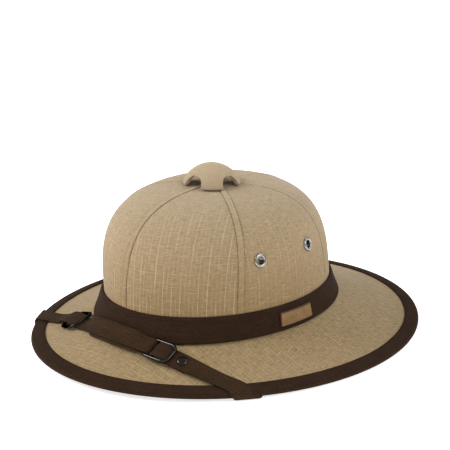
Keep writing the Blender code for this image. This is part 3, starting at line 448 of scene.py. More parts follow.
class Shading:
    """A material's node tree, with short calls for the nodes used here."""

    def __init__(self, name):
        self.material = bpy.data.materials.new(name)
        self.material.use_nodes = True
        self.tree = self.material.node_tree
        self.shader = self.tree.nodes["Principled BSDF"]

    def node(self, kind, settings=(), **inputs):
        made = self.tree.nodes.new(kind)
        for key, value in dict(settings).items():
            setattr(made, key, value)
        self.set_all(made, inputs)
        return made

    def set(self, socket, value):
        if isinstance(value, bpy.types.NodeSocket):
            self.tree.links.new(value, socket)
        else:
            socket.default_value = value

    def set_all(self, node, inputs):
        for key, value in inputs.items():
            self.set(node.inputs[key.replace("_", " ")], value)

    def set_first(self, node, values):
        """Sets the node's first inputs in their order and gives its result."""
        for socket, value in zip(node.inputs, values):
            self.set(socket, value)
        return node.outputs[0]

    def attribute(self, name, output="Vector"):
        return self.node("ShaderNodeAttribute", {"attribute_name": name}).outputs[output]

    def cloth(self):
        """The position on the flat cloth, whole and as its three values."""
        place = self.attribute("cloth")
        return (place, *self.node("ShaderNodeSeparateXYZ", Vector=place).outputs)

    def object_place(self):
        return self.node("ShaderNodeTexCoord").outputs["Object"]

    def math(self, operation, *values):
        return self.set_first(self.node("ShaderNodeMath", {"operation": operation}), values)

    def times(self, first, second):
        return self.math("MULTIPLY", first, second)

    def distance(self, value, place):
        return self.math("ABSOLUTE", self.math("SUBTRACT", value, place))

    def wave(self, value, length):
        return self.math("SINE", self.times(value, 2.0 * math.pi / length))

    def add_centred(self, base, parts):
        """The base with each part's strength times what the part is above a half."""
        for part, strength in parts:
            base = self.math("MULTIPLY_ADD", self.math("SUBTRACT", part, 0.5), strength, base)
        return base

    def noise(self, vector, scale, detail=2.0, roughness=0.5):
        """Noise of one scale, or of one for each axis."""
        if isinstance(scale, tuple):
            stretched = self.node("ShaderNodeVectorMath", {"operation": "MULTIPLY"})
            vector, scale = self.set_first(stretched, (vector, scale)), 1.0
        return self.node("ShaderNodeTexNoise", Vector=vector, Scale=scale, Detail=detail,
                         Roughness=roughness).outputs["Fac"]

    def ranged(self, value, low, high, out_low=0.0, out_high=1.0):
        made = self.node("ShaderNodeMapRange", {"interpolation_type": "SMOOTHSTEP"})
        return self.set_first(made, (value, low, high, out_low, out_high))

    def mix(self, share, first, second):
        made = self.node("ShaderNodeMix", {"data_type": "RGBA"}, Factor=share)
        self.set(made.inputs[6], first)
        self.set(made.inputs[7], second)
        return made.outputs[2]

    def bump(self, height, distance, strength):
        made = self.node("ShaderNodeBump", Height=height, Distance=distance, Strength=strength)
        self.set(self.shader.inputs["Normal"], made.outputs[0])

    def finish(self, colour, roughness, **inputs):
        self.set_all(self.shader, {"Base Color": colour, "Roughness": roughness, **inputs})
        return self.material


def rgb(red, green, blue):
    return (red, green, blue, 1.0)


LINEN_LOW = rgb(0.247, 0.165, 0.075)
LINEN_HIGH = rgb(0.316, 0.238, 0.143)
LINEN_SLUB = rgb(0.560, 0.450, 0.305)
WARP_SPACING = 0.00062
WEFT_SPACING = 0.00058
SLUB_SPACING = 0.0071
SLUB_WIDTH = 0.0008
SLUB_WANDER = 0.0016
# width of the painted shade line in each seam's groove
GROOVE_SHADE_WIDTH = 0.0006
RIB_SPACING = 0.0009
CROSS_SPACING = 0.0006
PLAIN_PANEL = 1.0                        # the panel whose slubs show least


def tinted(colour, tint):
    return rgb(*[value * share for value, share in zip(colour, tint)])


def slub_lines(s, cloth, place, shift, breaks):
    """Pale lines at every SLUB_SPACING of a place on the cloth, broken as the noise says."""
    thread = s.math("ADD", s.math("DIVIDE", place, SLUB_SPACING), shift)
    half = 0.5 * SLUB_WIDTH / SLUB_SPACING
    line = s.ranged(s.distance(s.math("FRACT", thread), 0.5), 0.3 * half, 1.4 * half, 1.0, 0.0)
    return s.times(line, s.ranged(s.noise(cloth, breaks), 0.36, 0.62, 0.15, 1.0))


def slubs_on(s, cloth, u, v, amount):
    """Slub threads: the main ones along v, fainter ones between them, and some across."""
    wandering = s.math("MULTIPLY_ADD", s.noise(cloth, (40.0, 9.0, 9.0), 1.0), SLUB_WANDER, u)
    slub = 0.0
    for place, shift, breaks, share in ((wandering, 0.0, (150.0, 32.0, 5.0), 1.0),
                                        (wandering, 0.5, (150.0, 60.0, 15.0), 0.45),
                                        (v, 0.2, (50.0, 150.0, 25.0), 0.38)):
        lines = s.times(slub_lines(s, cloth, place, shift, breaks), share * amount)
        slub = s.math("MAXIMUM", slub, lines)
    return slub


def panelled_cloth(s, cloth, u, v, panel, slub, gain):
    """Fewer slubs towards the top and on the plain panel, none on the seams' strips, and
    painted shade darkening the grooves along both sides of each seam."""
    off_plain = s.distance(panel, PLAIN_PANEL)
    seam = s.attribute("seam", "Fac")
    strip = s.ranged(s.math("ABSOLUTE", seam), SEAM_GROOVE - 0.0008, SEAM_GROOVE, 1.0, 0.0)
    for share in (s.ranged(v, 0.075, 0.125, 1.0, 0.25),
                  s.ranged(off_plain, 0.3, 0.7, 0.45, 1.0),
                  s.math("SUBTRACT", 1.0, strip)):
        slub = s.times(slub, share)
    gain = s.math("MULTIPLY_ADD", strip, 0.06, gain)
    uneven = s.ranged(s.noise(cloth, (30.0, 900.0, 3.0), 1.0), 0.35, 0.60, 0.35, 1.0)
    # of the front panel's two seams, the first one's painted groove shade shows less near its foot
    low_first = s.times(s.ranged(u, -0.002, 0.002, 0.6, 0.0), s.ranged(v, 0.03, 0.08, 1.0, 0.0))
    front = s.math("SUBTRACT", 1.0, low_first)
    far = s.ranged(s.distance(off_plain, 2.0), 1.3, 1.7, 0.5, 1.0)
    beside = s.times(far, s.ranged(v, 0.03, 0.08, 0.3, 1.0))
    # painted shade: a dark line in the groove on each side of a seam, deeper on one side
    for side, depth, share in ((1.0, 0.36, front), (-1.0, 0.16, beside)):
        line = s.ranged(s.distance(seam, side * SEAM_GROOVE), 0.0001, GROOVE_SHADE_WIDTH, depth, 0.0)
        gain = s.math("SUBTRACT", gain, s.times(s.times(line, uneven), share))
    return slub, gain


def linen(name, tint=(1.0, 1.0, 1.0), slubs=0.5, streak=1.0, sheen=0.18, panelled=False):
    """Plain-weave cloth with pale slub threads and shorter streaks both ways. Panelled cloth
    is darker at its foot, and it has seams with painted shade in their grooves."""
    s = Shading(name)
    cloth, u, v, panel = s.cloth()
    slub = slubs_on(s, cloth, u, v, slubs)
    # streaks: threads a little thicker, paler or darker for some millimetres
    across = s.ranged(s.noise(cloth, (150.0, 2000.0, 3.0), 2.0, 0.6), 0.30, 0.70)
    along = s.ranged(s.noise(cloth, (1500.0, 170.0, 7.0), 2.0, 0.6), 0.30, 0.70)
    pale = s.ranged(s.noise(cloth, (110.0, 1000.0, 11.0), 2.0, 0.55), 0.58, 0.74)
    grain = s.noise(cloth, (1900.0, 1900.0, 5.0), 1.0)
    patchy = s.noise(cloth, (26.0, 26.0, 2.0))
    weave = s.math("MULTIPLY_ADD", s.times(s.wave(u, WARP_SPACING), s.wave(v, WEFT_SPACING)), 0.5, 0.5)
    gain = s.add_centred(1.0, ((across, 0.34 * streak), (along, 0.20 * streak), (grain, 0.40),
                              (patchy, 0.10), (weave, 0.10)))
    ground = tinted(LINEN_HIGH, tint)[:3]
    if panelled:
        ground = s.mix(s.ranged(v, 0.010, 0.110), tinted(LINEN_LOW, tint), tinted(LINEN_HIGH, tint))
        slub, gain = panelled_cloth(s, cloth, u, v, panel, slub, gain)
    scaling = s.node("ShaderNodeVectorMath", {"operation": "SCALE"}, Scale=gain)
    colour = s.set_first(scaling, (ground,))
    for share in (s.times(pale, 0.22 * streak), slub):
        colour = s.mix(share, colour, tinted(LINEN_SLUB, tint))
    height = s.math("MULTIPLY_ADD", across, 0.35, s.times(along, 0.35))
    height = s.math("ADD", s.math("ADD", height, s.times(weave, 0.5)), slub)
    s.bump(height, 0.00016, 0.8)
    return s.finish(colour, 0.88, Sheen_Weight=sheen, Sheen_Roughness=0.45, Specular_IOR_Level=0.15)


def cotton(name, colour, pale, rib_spacing=RIB_SPACING):
    """Closely woven tape: fine ribs across it, worn a little paler in patches."""
    s = Shading(name)
    cloth, u, v, _ = s.cloth()
    rib = s.math("MULTIPLY_ADD", s.wave(s.math("ADD", u, v), rib_spacing), 0.5, 0.5)
    cross = s.math("MULTIPLY_ADD", s.wave(v, CROSS_SPACING), 0.5, 0.5)
    fuzz = s.noise(cloth, (900.0, 900.0, 1.0), 3.0, 0.6)
    streak = s.noise(cloth, (60.0, 700.0, 1.0), 2.0, 0.6)
    patchy = s.noise(cloth, (55.0, 90.0, 1.0), 3.0, 0.6)
    tone = s.add_centred(0.40, ((patchy, 0.45), (fuzz, 1.5), (streak, 0.4), (rib, 0.25)))
    height = s.math("MULTIPLY_ADD", rib, 0.6, s.times(cross, 0.4))
    s.bump(s.math("MULTIPLY_ADD", fuzz, 0.6, height), 0.00012, 0.7)
    return s.finish(s.mix(s.ranged(tone, 0.0, 1.0), colour, pale), 0.85, Specular_IOR_Level=0.06)


def leather(name):
    """Grained hide, darker in its creases and along its edge."""
    s = Shading(name)
    place = s.object_place()
    _, inset, _, _ = s.cloth()
    grain = s.node("ShaderNodeTexVoronoi", {"feature": "DISTANCE_TO_EDGE"}, Vector=place, Scale=1500.0)
    crease = s.ranged(grain.outputs["Distance"], 0.0, 0.22)
    cloudy = s.noise(place, 160.0, 4.0, 0.6)
    colour = s.mix(s.ranged(cloudy, 0.3, 0.7), rgb(0.185, 0.108, 0.044), rgb(0.245, 0.150, 0.068))
    in_crease = s.times(s.math("SUBTRACT", 1.0, crease), 0.35)
    colour = s.mix(in_crease, colour, rgb(0.15, 0.08, 0.035))
    colour = s.mix(s.ranged(inset, 0.0002, 0.0014, 0.85, 0.0), colour, rgb(0.040, 0.018, 0.009))
    s.bump(s.math("MULTIPLY_ADD", s.noise(place, 2600.0), 0.3, crease), 0.00008, 0.6)
    return s.finish(colour, s.ranged(cloudy, 0.3, 0.7, 0.60, 0.72), Specular_IOR_Level=0.15)


def metal(name, colour, roughness, scratch=0.06, edge=1.0):
    """Polished metal with smudges and fine scratches. Edge is its tint at grazing angles."""
    s = Shading(name)
    place = s.object_place()
    smudge = s.noise(place, 420.0, 3.0, 0.6)
    scratches = s.noise(place, (900.0, 5200.0, 2300.0), 2.0, 0.7)
    rough = s.add_centred(roughness, ((smudge, 2.0 * scratch), (scratches, scratch)))
    tone = s.mix(s.ranged(smudge, 0.35, 0.7), tinted(colour, (0.88, 0.88, 0.88)), colour)
    s.bump(scratches, 0.00001, 0.3)
    return s.finish(tone, rough, Metallic=1.0, Specular_Tint=rgb(edge, edge, edge))


def thread(name, colour, dark):
    s = Shading(name)
    ply = s.noise(s.object_place(), 3000.0)
    s.bump(ply, 0.00005, 0.6)
    return s.finish(s.mix(ply, dark, colour), 0.85, Specular_IOR_Level=0.1)


# ---- meshes ------------------------------------------------------------------------

def linked(name, data):
    """A new object in the scene."""
    item = bpy.data.objects.new(name, data)
    bpy.context.scene.collection.objects.link(item)
    return item


def finished_piece(name, shape, material, node=None, sharp=50.0):
    """An object from (vertices, faces, cloth positions), turned to face outwards."""
    vertices, faces, coords = shape
    volume = 0.0
    for face in faces:
        for second, third in zip(face[1:], face[2:]):
            volume += vertices[face[0]].dot(vertices[second].cross(vertices[third]))
    if volume < 0.0:
        faces = [face[::-1] for face in faces]
        coords = [values[::-1] for values in coords]
    mesh = bpy.data.meshes.new(name)
    mesh.from_pydata(vertices, [], faces)
    corners = [value for values in coords for value in values]
    attribute = mesh.attributes.new("cloth", "FLOAT_VECTOR", "CORNER")
    attribute.data.foreach_set("vector", [number for value in corners for number in value[:3]])
    if len(corners[0]) > 3:
        attribute = mesh.attributes.new("seam", "FLOAT", "CORNER")
        attribute.data.foreach_set("value", [value[3] for value in corners])
    mesh.materials.append(material)
    mesh.shade_smooth()
    mesh.set_sharp_from_angle(angle=math.radians(sharp))
    item = linked(name, mesh)
    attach(item, "root")
    if node:
        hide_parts(node)
    return item


def nowhere(i, j):
    """The cloth position of what has no weave."""
    return 0.0, 0.0, 0.0


def skin(sections, closed, coord=nowhere):
    """Vertices, faces and cloth positions of rings of points. coord(i, j) is asked one
    step past the last ring or point where the skin closes on itself."""
    count, last = len(sections[0]), len(sections) - 1
    vertices = [Vector(point) for section in sections for point in section]
    faces, coords = [], []
    for i in range(last + 1 if closed else last):
        low, high = i * count, (i + 1) % len(sections) * count
        for j in range(count):
            k = (j + 1) % count
            faces.append((low + j, low + k, high + k, high + j))
            coords.append([coord(i, j), coord(i, j + 1), coord(i + 1, j + 1), coord(i + 1, j)])
    if not closed:
        faces += [tuple(reversed(range(count))), tuple(range(last * count, len(vertices)))]
        coords += [[coord(0, j) for j in reversed(range(count))],
                   [coord(last, j) for j in range(count)]]
    return vertices, faces, coords


def joined(shapes):
    """One list each of vertices, faces and cloth positions from several shapes."""
    vertices, faces, coords = [], [], []
    for more_vertices, more_faces, more_coords in shapes:
        faces += [tuple(len(vertices) + k for k in face) for face in more_faces]
        vertices += more_vertices
        coords += more_coords
    return vertices, faces, coords


def turned(name, profile, segments, placing, material, node):
    """A body turned about the local Z axis. Points are (radius, height)."""
    vertices, rings = [], []
    for radius, height in profile:
        if radius == 0.0:
            rings.append([len(vertices)] * segments)
            vertices.append(placing @ Vector((0.0, 0.0, height)))
        else:
            rings.append(list(range(len(vertices), len(vertices) + segments)))
            vertices += [placing @ Vector((radius * cosine, radius * sine, height))
                         for cosine, sine in circle(segments)]
    faces = []
    closed = profile[0][0] > 0.0
    for ring, following in zip(rings, rings[1:] + rings[:1] if closed else rings[1:]):
        for j in range(segments):
            k = (j + 1) % segments
            faces.append(tuple(dict.fromkeys((ring[j], ring[k], following[k], following[j]))))
    middle = sum(vertices, Vector()) / len(vertices)
    vertices = [point - middle for point in vertices]
    coords = [[vertices[i] for i in face] for face in faces]
    item = finished_piece(name, (vertices, faces, coords), material, node)
    item.data.transform(Matrix.Translation(middle))


def rounded_profile(points, radius):
    """A profile of (radius, height) with its inner corners eased."""
    points = [Vector(point) for point in points]
    eased = [points[0]]
    for before, corner, after in zip(points, points[1:], points[2:]):
        reach = min(radius, 0.45 * (corner - before).length, 0.45 * (after - corner).length)
        start = corner + (before - corner).normalized() * reach
        end = corner + (after - corner).normalized() * reach
        for t in (0.0, 1.0 / 3.0, 2.0 / 3.0, 1.0):
            eased.append(start * (1 - t) ** 2 + corner * (2 * t * (1 - t)) + end * t ** 2)
    return eased + [points[-1]]


def rounded_outline(length, width, corners, steps, straight=1):
    """Points round a rounded rectangle, the same count for every size."""
    arcs = []
    for i, (x, y) in enumerate(((1, 1), (-1, 1), (-1, -1), (1, -1))):
        corner = corners[0] if x > 0 else corners[1]
        centre = Vector((x * (0.5 * length - corner), y * (0.5 * width - corner)))
        turns = [QUARTER * (i + j / steps) for j in range(steps + 1)]
        arcs.append([centre + Vector((math.cos(turn), math.sin(turn))) * corner for turn in turns])
    points = []
    for arc, following in zip(arcs, arcs[1:] + arcs[:1]):
        points += arc
        points += [mixed(arc[-1], following[0], k / straight) for k in range(1, straight)]
    return points


# along a stitch: how far, how thick, and how far above the cloth
STITCH_RINGS = ((0.0, 0.25, -0.6), (0.12, 0.85, 0.75), (0.5, 1.0, 0.75), (0.88, 0.85, 0.75),
                (1.0, 0.25, -0.6))
STITCH_LOOK = 0.0002                     # how far before and behind its direction is read


def stitch_rings(line, travelled, start, length, thick):
    """One thread's rings of points, from a distance along the line."""
    def at(distance):
        i = bisect_left(travelled, distance, 1)
        if i == len(line):
            return line[-1]
        share = (distance - travelled[i - 1]) / max(1e-9, travelled[i] - travelled[i - 1])
        return [mixed(first, second, share) for first, second in zip(line[i - 1], line[i])]

    rings = []
    for share, size, rise in STITCH_RINGS:
        place = start + length * share
        point, normal = at(place)
        normal = normal.normalized()
        ahead = at(min(travelled[-1], place + STITCH_LOOK))[0]
        behind = at(max(0.0, place - STITCH_LOOK))[0]
        side = (ahead - behind).normalized().cross(normal)
        centre = point + normal * (thick * rise * size)
        rings.append([centre + (side * cosine + normal * sine) * thick * size for cosine, sine in circle(5)])
    return rings


def stitches(name, lines, material, length=0.0022, space=0.0008, thick=0.00022):
    """Short rounded threads laid along lines. Each line is a list of (point, normal)."""
    threads = []
    for line in lines:
        travelled = lengths_along([point for point, _ in line])
        for number in range(int(travelled[-1] / (length + space))):
            start = number * (length + space)
            threads.append(skin(stitch_rings(line, travelled, start, length, thick), False))
    finished_piece(name, joined(threads), material, sharp=80.0)


def drilled(item, holes, segments=32):
    """Cuts round holes, listed as (centre, axis, radius, length), and keeps the result."""
    for centre, axis, radius, length in holes:
        cutter = bmesh.new()
        bmesh.ops.create_cone(cutter, cap_ends=True, segments=segments,
                              radius1=radius, radius2=radius, depth=length)
        cutter.transform(facing(centre, axis))
        mesh = bpy.data.meshes.new("tool")
        cutter.to_mesh(mesh)
        cutter.free()
        tool = linked("tool", mesh)
        modifier = item.modifiers.new("hole", "BOOLEAN")
        modifier.operation = "DIFFERENCE"
        modifier.solver = "EXACT"
        modifier.object = tool
        bpy.context.view_layer.update()
        evaluated = item.evaluated_get(bpy.context.evaluated_depsgraph_get())
        result = bpy.data.meshes.new_from_object(evaluated)
        item.modifiers.clear()
        item.data = result
        bpy.data.objects.remove(tool)


# ---- crown -------------------------------------------------------------------------

PANEL_SHIFT = 0.37           # how far along the flat cloth the next panel is cut
MEASURED_COLUMN = 60         # the cloth's height is measured along this column
FAR_RELIEF = 0.45            # the far seams' relief, as a share of the front ones'
SEAM_END = 0.975             # how far up the dome the stitches go, as a share of its rise
SEAM_END_TURN = math.radians(87.0)
TOP_TURN = math.radians(88.5)


def seam_profile(across):
    """Height of the sewn strip at a place across it, from -1 to 1: two stitched dents
    beside a low rounded ridge."""
    ridge = max(0.0, 1.0 - abs(across) ** 5.0)
    dent = math.exp(-((abs(across) - SEAM_DENT) / 0.11) ** 2)
    return 0.9 * ridge - 0.75 * dent


def seam_relief(number):
    """The two seams beside the front panel stand out most."""
    return SEAM_RELIEF if number % PANELS in FRONT_SEAMS else FAR_RELIEF * SEAM_RELIEF


def seam_angle(section, number):
    """Where a seam crosses a ring. The seams drift a little to one side on their way up."""
    narrowing = min(1.0, section.half_width / WALL_HALF_WIDTH) ** (0.5 * DOME_POWER)
    share = math.acos(narrowing) / QUARTER
    foot, side, top = SEAM_DRIFT
    drift = mixed(foot, top, share) + side * math.sin(math.pi * share ** 0.75)
    off_front = number * PANEL - FRONT_PANEL_MIDDLE
    moved = drift * math.cos(off_front) + SEAM_SPREAD * math.sin(off_front)
    return number * PANEL + moved / max(section.half_width, SEAM_TOP_RADIUS)


def seam_half_angle(section):
    local = math.hypot(section.half_length, section.half_width) / math.sqrt(2.0)
    return SEAM_HALF_WIDTH * min(1.0, local / SEAM_TOP_RADIUS) / max(local, SEAM_TOP_RADIUS)


def seam_lines(numbers):
    """Topstitch lines along both sides of these seams, with the surface's normal."""
    end = RIM_LEVEL + WALL_LEVEL + SEAM_END * DOME_RISE
    lines = []
    for number in numbers:
        out = seam_relief(number) * seam_profile(SEAM_DENT)
        for side in (-SEAM_DENT, SEAM_DENT):
            line = []
            for turn in dome_turns(90, SEAM_END_TURN)[8:]:
                section = dome_section(turn)
                angle = seam_angle(section, number) + side * seam_half_angle(section)
                point = on_ellipse(dome_section(turn, out), angle)
                if point.z < end:
                    line.append((point, crown_normal(angle, turn)))
            lines.append(line)
    return lines


def crown_columns():
    """(panel, whether on the seam before it, place across the seam or across the cloth)."""
    places = [(True, i / 9.0) for i in range(-9, 9)] + [(False, i / 18.0) for i in range(18)]
    return [(panel, *place) for panel in range(PANELS) for place in places]


def crown_angle(section, column):
    panel, on_seam, share = column
    half = seam_half_angle(section)
    if on_seam:
        return seam_angle(section, panel) + share * half
    return mixed(seam_angle(section, panel) + half, seam_angle(section, panel + 1) - half, share)


def vent_section(depth, out):
    top = dome_section(QUARTER)
    return top._replace(half_length=VENT_HOLE_RADIUS, half_width=VENT_HOLE_RADIUS, z=top.z - depth)


def crown_rings():
    """(section function, offset, whether seams show) up the outside and down the inside."""
    wall_top = WALL_LEVEL - 0.0003
    levels = (CROWN_LOW_LEVEL, 0.5 * (CROWN_LOW_LEVEL + WALL_LEVEL), wall_top)
    outside = [partial(wall_section, level) for level in levels]
    outside += [partial(dome_section, turn) for turn in dome_turns(46, TOP_TURN)]
    vent = [partial(vent_section, depth) for depth in (0.0001, CROWN_THICK)]
    inside = [partial(dome_section, turn) for turn in reversed(dome_turns(22, TOP_TURN))]
    inside += [partial(wall_section, level) for level in (wall_top, CROWN_LOW_INSIDE)]
    return ([(section_at, 0.0, True) for section_at in outside]
            + [(section_at, 0.0, False) for section_at in vent]
            + [(section_at, -CROWN_THICK, False) for section_at in inside])


def crown_ring(section_at, out, seams, columns):
    """A ring's section, mean radius, angles and points, which stand proud on the seams."""
    section = section_at(out)
    strength = smooth_share(section.z - RIM_LEVEL, *SEAM_FADE_FOOT)
    strength *= smooth_share(section.half_width, *SEAM_FADE_TOP)
    angles = [crown_angle(section, column) for column in columns]
    points = []
    for (panel, on_seam, share), angle in zip(columns, angles):
        relief = seam_relief(panel) * seam_profile(share) * strength if seams and on_seam else 0.0
        points.append(on_ellipse(section_at(out + relief), angle))
    radius = lengths_along(points + points[:1])[-1] / (2.0 * math.pi)
    return section, radius, angles, points


def crown_place(column, section, radius, angle, height):
    """A corner's place on its panel's cloth, the panel's number and the distance from the
    nearest seam, which counts below zero off the front panel."""
    panel, on_seam, share = column
    number = panel - 1 if on_seam and share < 0.0 else panel
    first, second = seam_angle(section, number), seam_angle(section, number + 1)
    off_centre = radius * (angle - 0.5 * (first + second))
    off_seam = 0.5 * radius * (second - first) - abs(off_centre)
    number_round = number % PANELS
    return (off_centre + PANEL_SHIFT * number, height, float(number_round),
            off_seam if number_round == 0 else -off_seam)


def make_crown(cloth):
    columns = crown_columns()
    rings = [crown_ring(*ring, columns) for ring in crown_rings()]
    sections = [points for _, _, _, points in rings]
    heights = lengths_along([points[MEASURED_COLUMN] for points in sections + sections[:1]])

    def coord(i, j):
        section, radius, angles, _ = rings[i % len(rings)]
        past = 2.0 * math.pi if j == len(columns) else 0.0
        return section, radius, angles[j % len(columns)] + past, heights[i]

    vertices, faces, corners = skin(sections, True, coord)
    coords = [[crown_place(columns[index % len(columns)], *corner) for corner in face]
              for index, face in enumerate(corners)]
    crown = finished_piece("crown_shell", (vertices, faces, coords), cloth, "crown", 60.0)
    drilled(crown, [(*eyelet_seat(angle), EYELET_TUBE + GAP, 4.0 * CROWN_THICK)
                    for _, angle in eyelet_places()])


# ---- brim, binding and hatband -------------------------------------------------------

def brim_section(angle):
    half = BRIM_THICK / 2.0
    outer = -CROWN_THICK - COLLAR_GAP
    inner = outer - COLLAR_THICK
    rounding = 0.0008
    outline = rim_outline(angle) - CROWN_MIDDLE
    wall = outline.length - foot_radius(outline.normalized())
    insets = [mixed(EDGE_RADIUS, wall, i / 16) for i in range(1, 17)]
    points = [edge_point(angle, half, math.radians(turn)) for turn in range(-90, 91, 15)]
    points += [brim_point(angle, inset, half) for inset in insets]
    points += [collar_foot(angle, CROWN_LOW_LEVEL, outer, 1.0),
               collar_point(angle, COLLAR_LEVEL - rounding, outer),
               collar_point(angle, COLLAR_LEVEL, outer - rounding),
               collar_point(angle, COLLAR_LEVEL, inner + rounding),
               collar_point(angle, COLLAR_LEVEL - rounding, inner),
               collar_foot(angle, FOOT_LEVEL, inner, -1.0)]
    return points + [brim_point(angle, inset, -half) for inset in reversed(insets)]


def make_brim(cloth):
    sections = [brim_section(angle) for angle in around()]

    def coord(i, j):
        point = sections[i % AROUND][j % len(sections[0])]
        return point.y, point.x, BRIM_CUT

    brim = finished_piece("brim_shell", skin(sections, True, coord), cloth, "brim", 45.0)
    drilled(brim, [anchor_hole(LONG_END), anchor_hole(SHORT_END)], 16)


def taped(name, sections, radius, cut, tape, node, sharp):
    """A tape that runs all the way round, with its cloth laid along it."""
    lengths = lengths_along(sections[0] + sections[0][:1])

    def coord(i, j):
        return 2.0 * math.pi * radius * i / AROUND, lengths[j], cut

    finished_piece(name, skin(sections, True, coord), tape, node, sharp)


BINDING_DENT = 0.0018        # the stitching's distance from the tape's inner edge
BINDING_WANDER = 0.00022

# the tape's outer face: distance from its inner edge, and share of its thickness
BINDING_FACE = ((-0.0002, 0.45), (0.0003, 0.85), (0.0012, 0.98), (BINDING_DENT, 0.80),
                (0.0024, 1.0), (0.0040, 1.0), (0.0060, 1.0), (0.0080, 1.0))


def binding_inset(angle):
    """The tape's inner edge wanders a little, as sewn."""
    wander = noise.noise(Vector((3.0 * math.sin(angle), 3.0 * math.cos(angle), 4.0)))
    return BINDING_WIDTH + BINDING_WANDER * wander


def binding_section(angle):
    inner = BRIM_THICK / 2.0 + GAP
    width = binding_inset(angle)

    def folded(places, radius):
        """Points along the top, round the brim's edge and back below."""
        top, below = ([brim_point(angle, inset, side * offset) for inset, offset in places]
                      for side in (1.0, -1.0))
        edge = [edge_point(angle, radius, math.radians(turn)) for turn in range(90, -91, -15)]
        return top + edge + below[::-1]

    inside = [(mixed(width, EDGE_RADIUS, i / 6), inner) for i in range(6)]
    outside = [(width - past, inner + share * BINDING_THICK) for past, share in BINDING_FACE]
    return folded(inside, inner) + folded(outside, EDGE_RADIUS)[::-1]


def make_binding(tape):
    sections = [binding_section(angle) for angle in around()]
    mean = 0.5 * (RIM_HALF_LENGTH + RIM_HALF_WIDTH)
    taped("binding_tape", sections, mean, BINDING_CUT, tape, "brim_binding", 70.0)


def binding_lines():
    """Stitch lines along the tape's inner edge, above and below the brim."""
    offset = BRIM_THICK / 2.0 + GAP + 0.80 * BINDING_THICK
    frames = [brim_frame(angle, binding_inset(angle) - BINDING_DENT) for angle in stitched_around()]
    return [[(middle + normal * side * offset, normal * side) for middle, normal, _ in frames]
            for side in (1.0, -1.0)]


BAND_GROOVE = BAND_HEM + 0.0004          # the stitching's distance from the band's edge
BAND_RADIUS = 0.1                        # about its mean radius, for the place on its cloth
BAND_WANDER = 0.00016

# the hatband's outer face near its edges: distance from the edge, and relief
BAND_EDGE = ((0.0, -0.0007), (0.0002, -0.0002), (0.0007, 0.0002), (0.0015, BAND_HEM_RELIEF),
             (BAND_HEM, BAND_HEM_RELIEF), (BAND_GROOVE, 0.0), (BAND_HEM + 0.0010, BAND_SOFT_RELIEF))


def band_profile():
    """(level, outer relief) up the hatband: rounded hems and a slightly hollow middle."""
    middle = ((0.35, BAND_SOFT_RELIEF), (0.5, 0.0), (0.65, BAND_SOFT_RELIEF))
    return ([(BAND_LOW_LEVEL + inset, relief) for inset, relief in BAND_EDGE]
            + [(mixed(BAND_LOW_LEVEL, BAND_TOP_LEVEL, share), relief) for share, relief in middle]
            + [(BAND_TOP_LEVEL - inset, relief) for inset, relief in reversed(BAND_EDGE)])


def band_section(angle):
    points = []
    for level, relief in band_profile():
        if relief == BAND_SOFT_RELIEF:
            soft = noise.noise(Vector((14.0 * math.sin(angle), 14.0 * math.cos(angle), 90.0 * level)))
            relief += BAND_WANDER * soft
        points.append(on_ellipse(wall_section(level, BAND_GAP + BAND_THICK + relief), angle))
    return points + [on_ellipse(wall_section(level, BAND_GAP), angle)
                     for level in (BAND_TOP_LEVEL, BAND_LOW_LEVEL)]


def make_hatband(tape):
    sections = [band_section(angle) for angle in around()]
    taped("hatband_cloth", sections, BAND_RADIUS, BAND_CUT, tape, "hatband", 60.0)


def band_lines():
    """Stitch lines beside the hatband's two hems, with a slightly rising normal."""
    lines = []
    for level in (BAND_LOW_LEVEL + BAND_GROOVE, BAND_TOP_LEVEL - BAND_GROOVE):
        line = []
        for angle in stitched_around():
            wall, face, beyond = (on_ellipse(wall_section(level, out), angle)
                                  for out in (0.0, BAND_GAP + BAND_THICK, 0.01))
            line.append((face, beyond - wall + Vector((0.0, 0.0, 0.003))))
        lines.append(line)
    return lines


# the patch's rings: distance in from its edge, and height above its back
PATCH_RINGS = ((0.0, 0.0), (0.0, 0.0010), (0.00012, 0.00128), (0.0004, 0.0014), (0.0010, 0.0014),
               (0.00125, 0.00125), (0.0016, 0.00125), (0.00185, 0.0014), (0.0030, 0.00145),
               (0.0042, 0.00148), (0.0053, 0.0015))


def make_patch(hide):
    """A leather plate with rounded corners, bent round the band, with a pressed border."""
    middle_level = 0.5 * (PATCH_LOW_LEVEL + PATCH_TOP_LEVEL)
    radius = wall_section(middle_level).half_length
    height = PATCH_TOP_LEVEL - PATCH_LOW_LEVEL
    base = BAND_GAP + BAND_THICK + 1.5 * GAP
    sections = []
    for inset, out in PATCH_RINGS:
        corner = max(0.0002, 0.0011 - 0.5 * inset)
        outline = rounded_outline(PATCH_LENGTH - 2.0 * inset, height - 2.0 * inset, (corner, corner), 5, 10)
        sections.append([on_ellipse(wall_section(middle_level + point.y, base + out),
                                    QUARTER + point.x / radius) for point in outline])
    shape = skin(sections, False, lambda i, j: (PATCH_RINGS[i][0], 0.0, 0.0))
    finished_piece("leather_patch", shape, hide, "label_patch")


# ---- vent cap, post and eyelets --------------------------------------------------------

CAP_MIDDLE = Vector((LEAN_X, CROWN_MIDDLE_Y + LEAN_Y, RIM_LEVEL + CAP_TOP_LEVEL - CAP_RADIUS))
CAP_INSIDE = CAP_RADIUS - CAP_THICK
CAP_SHIFT = 0.2              # where the cap's cloth is cut


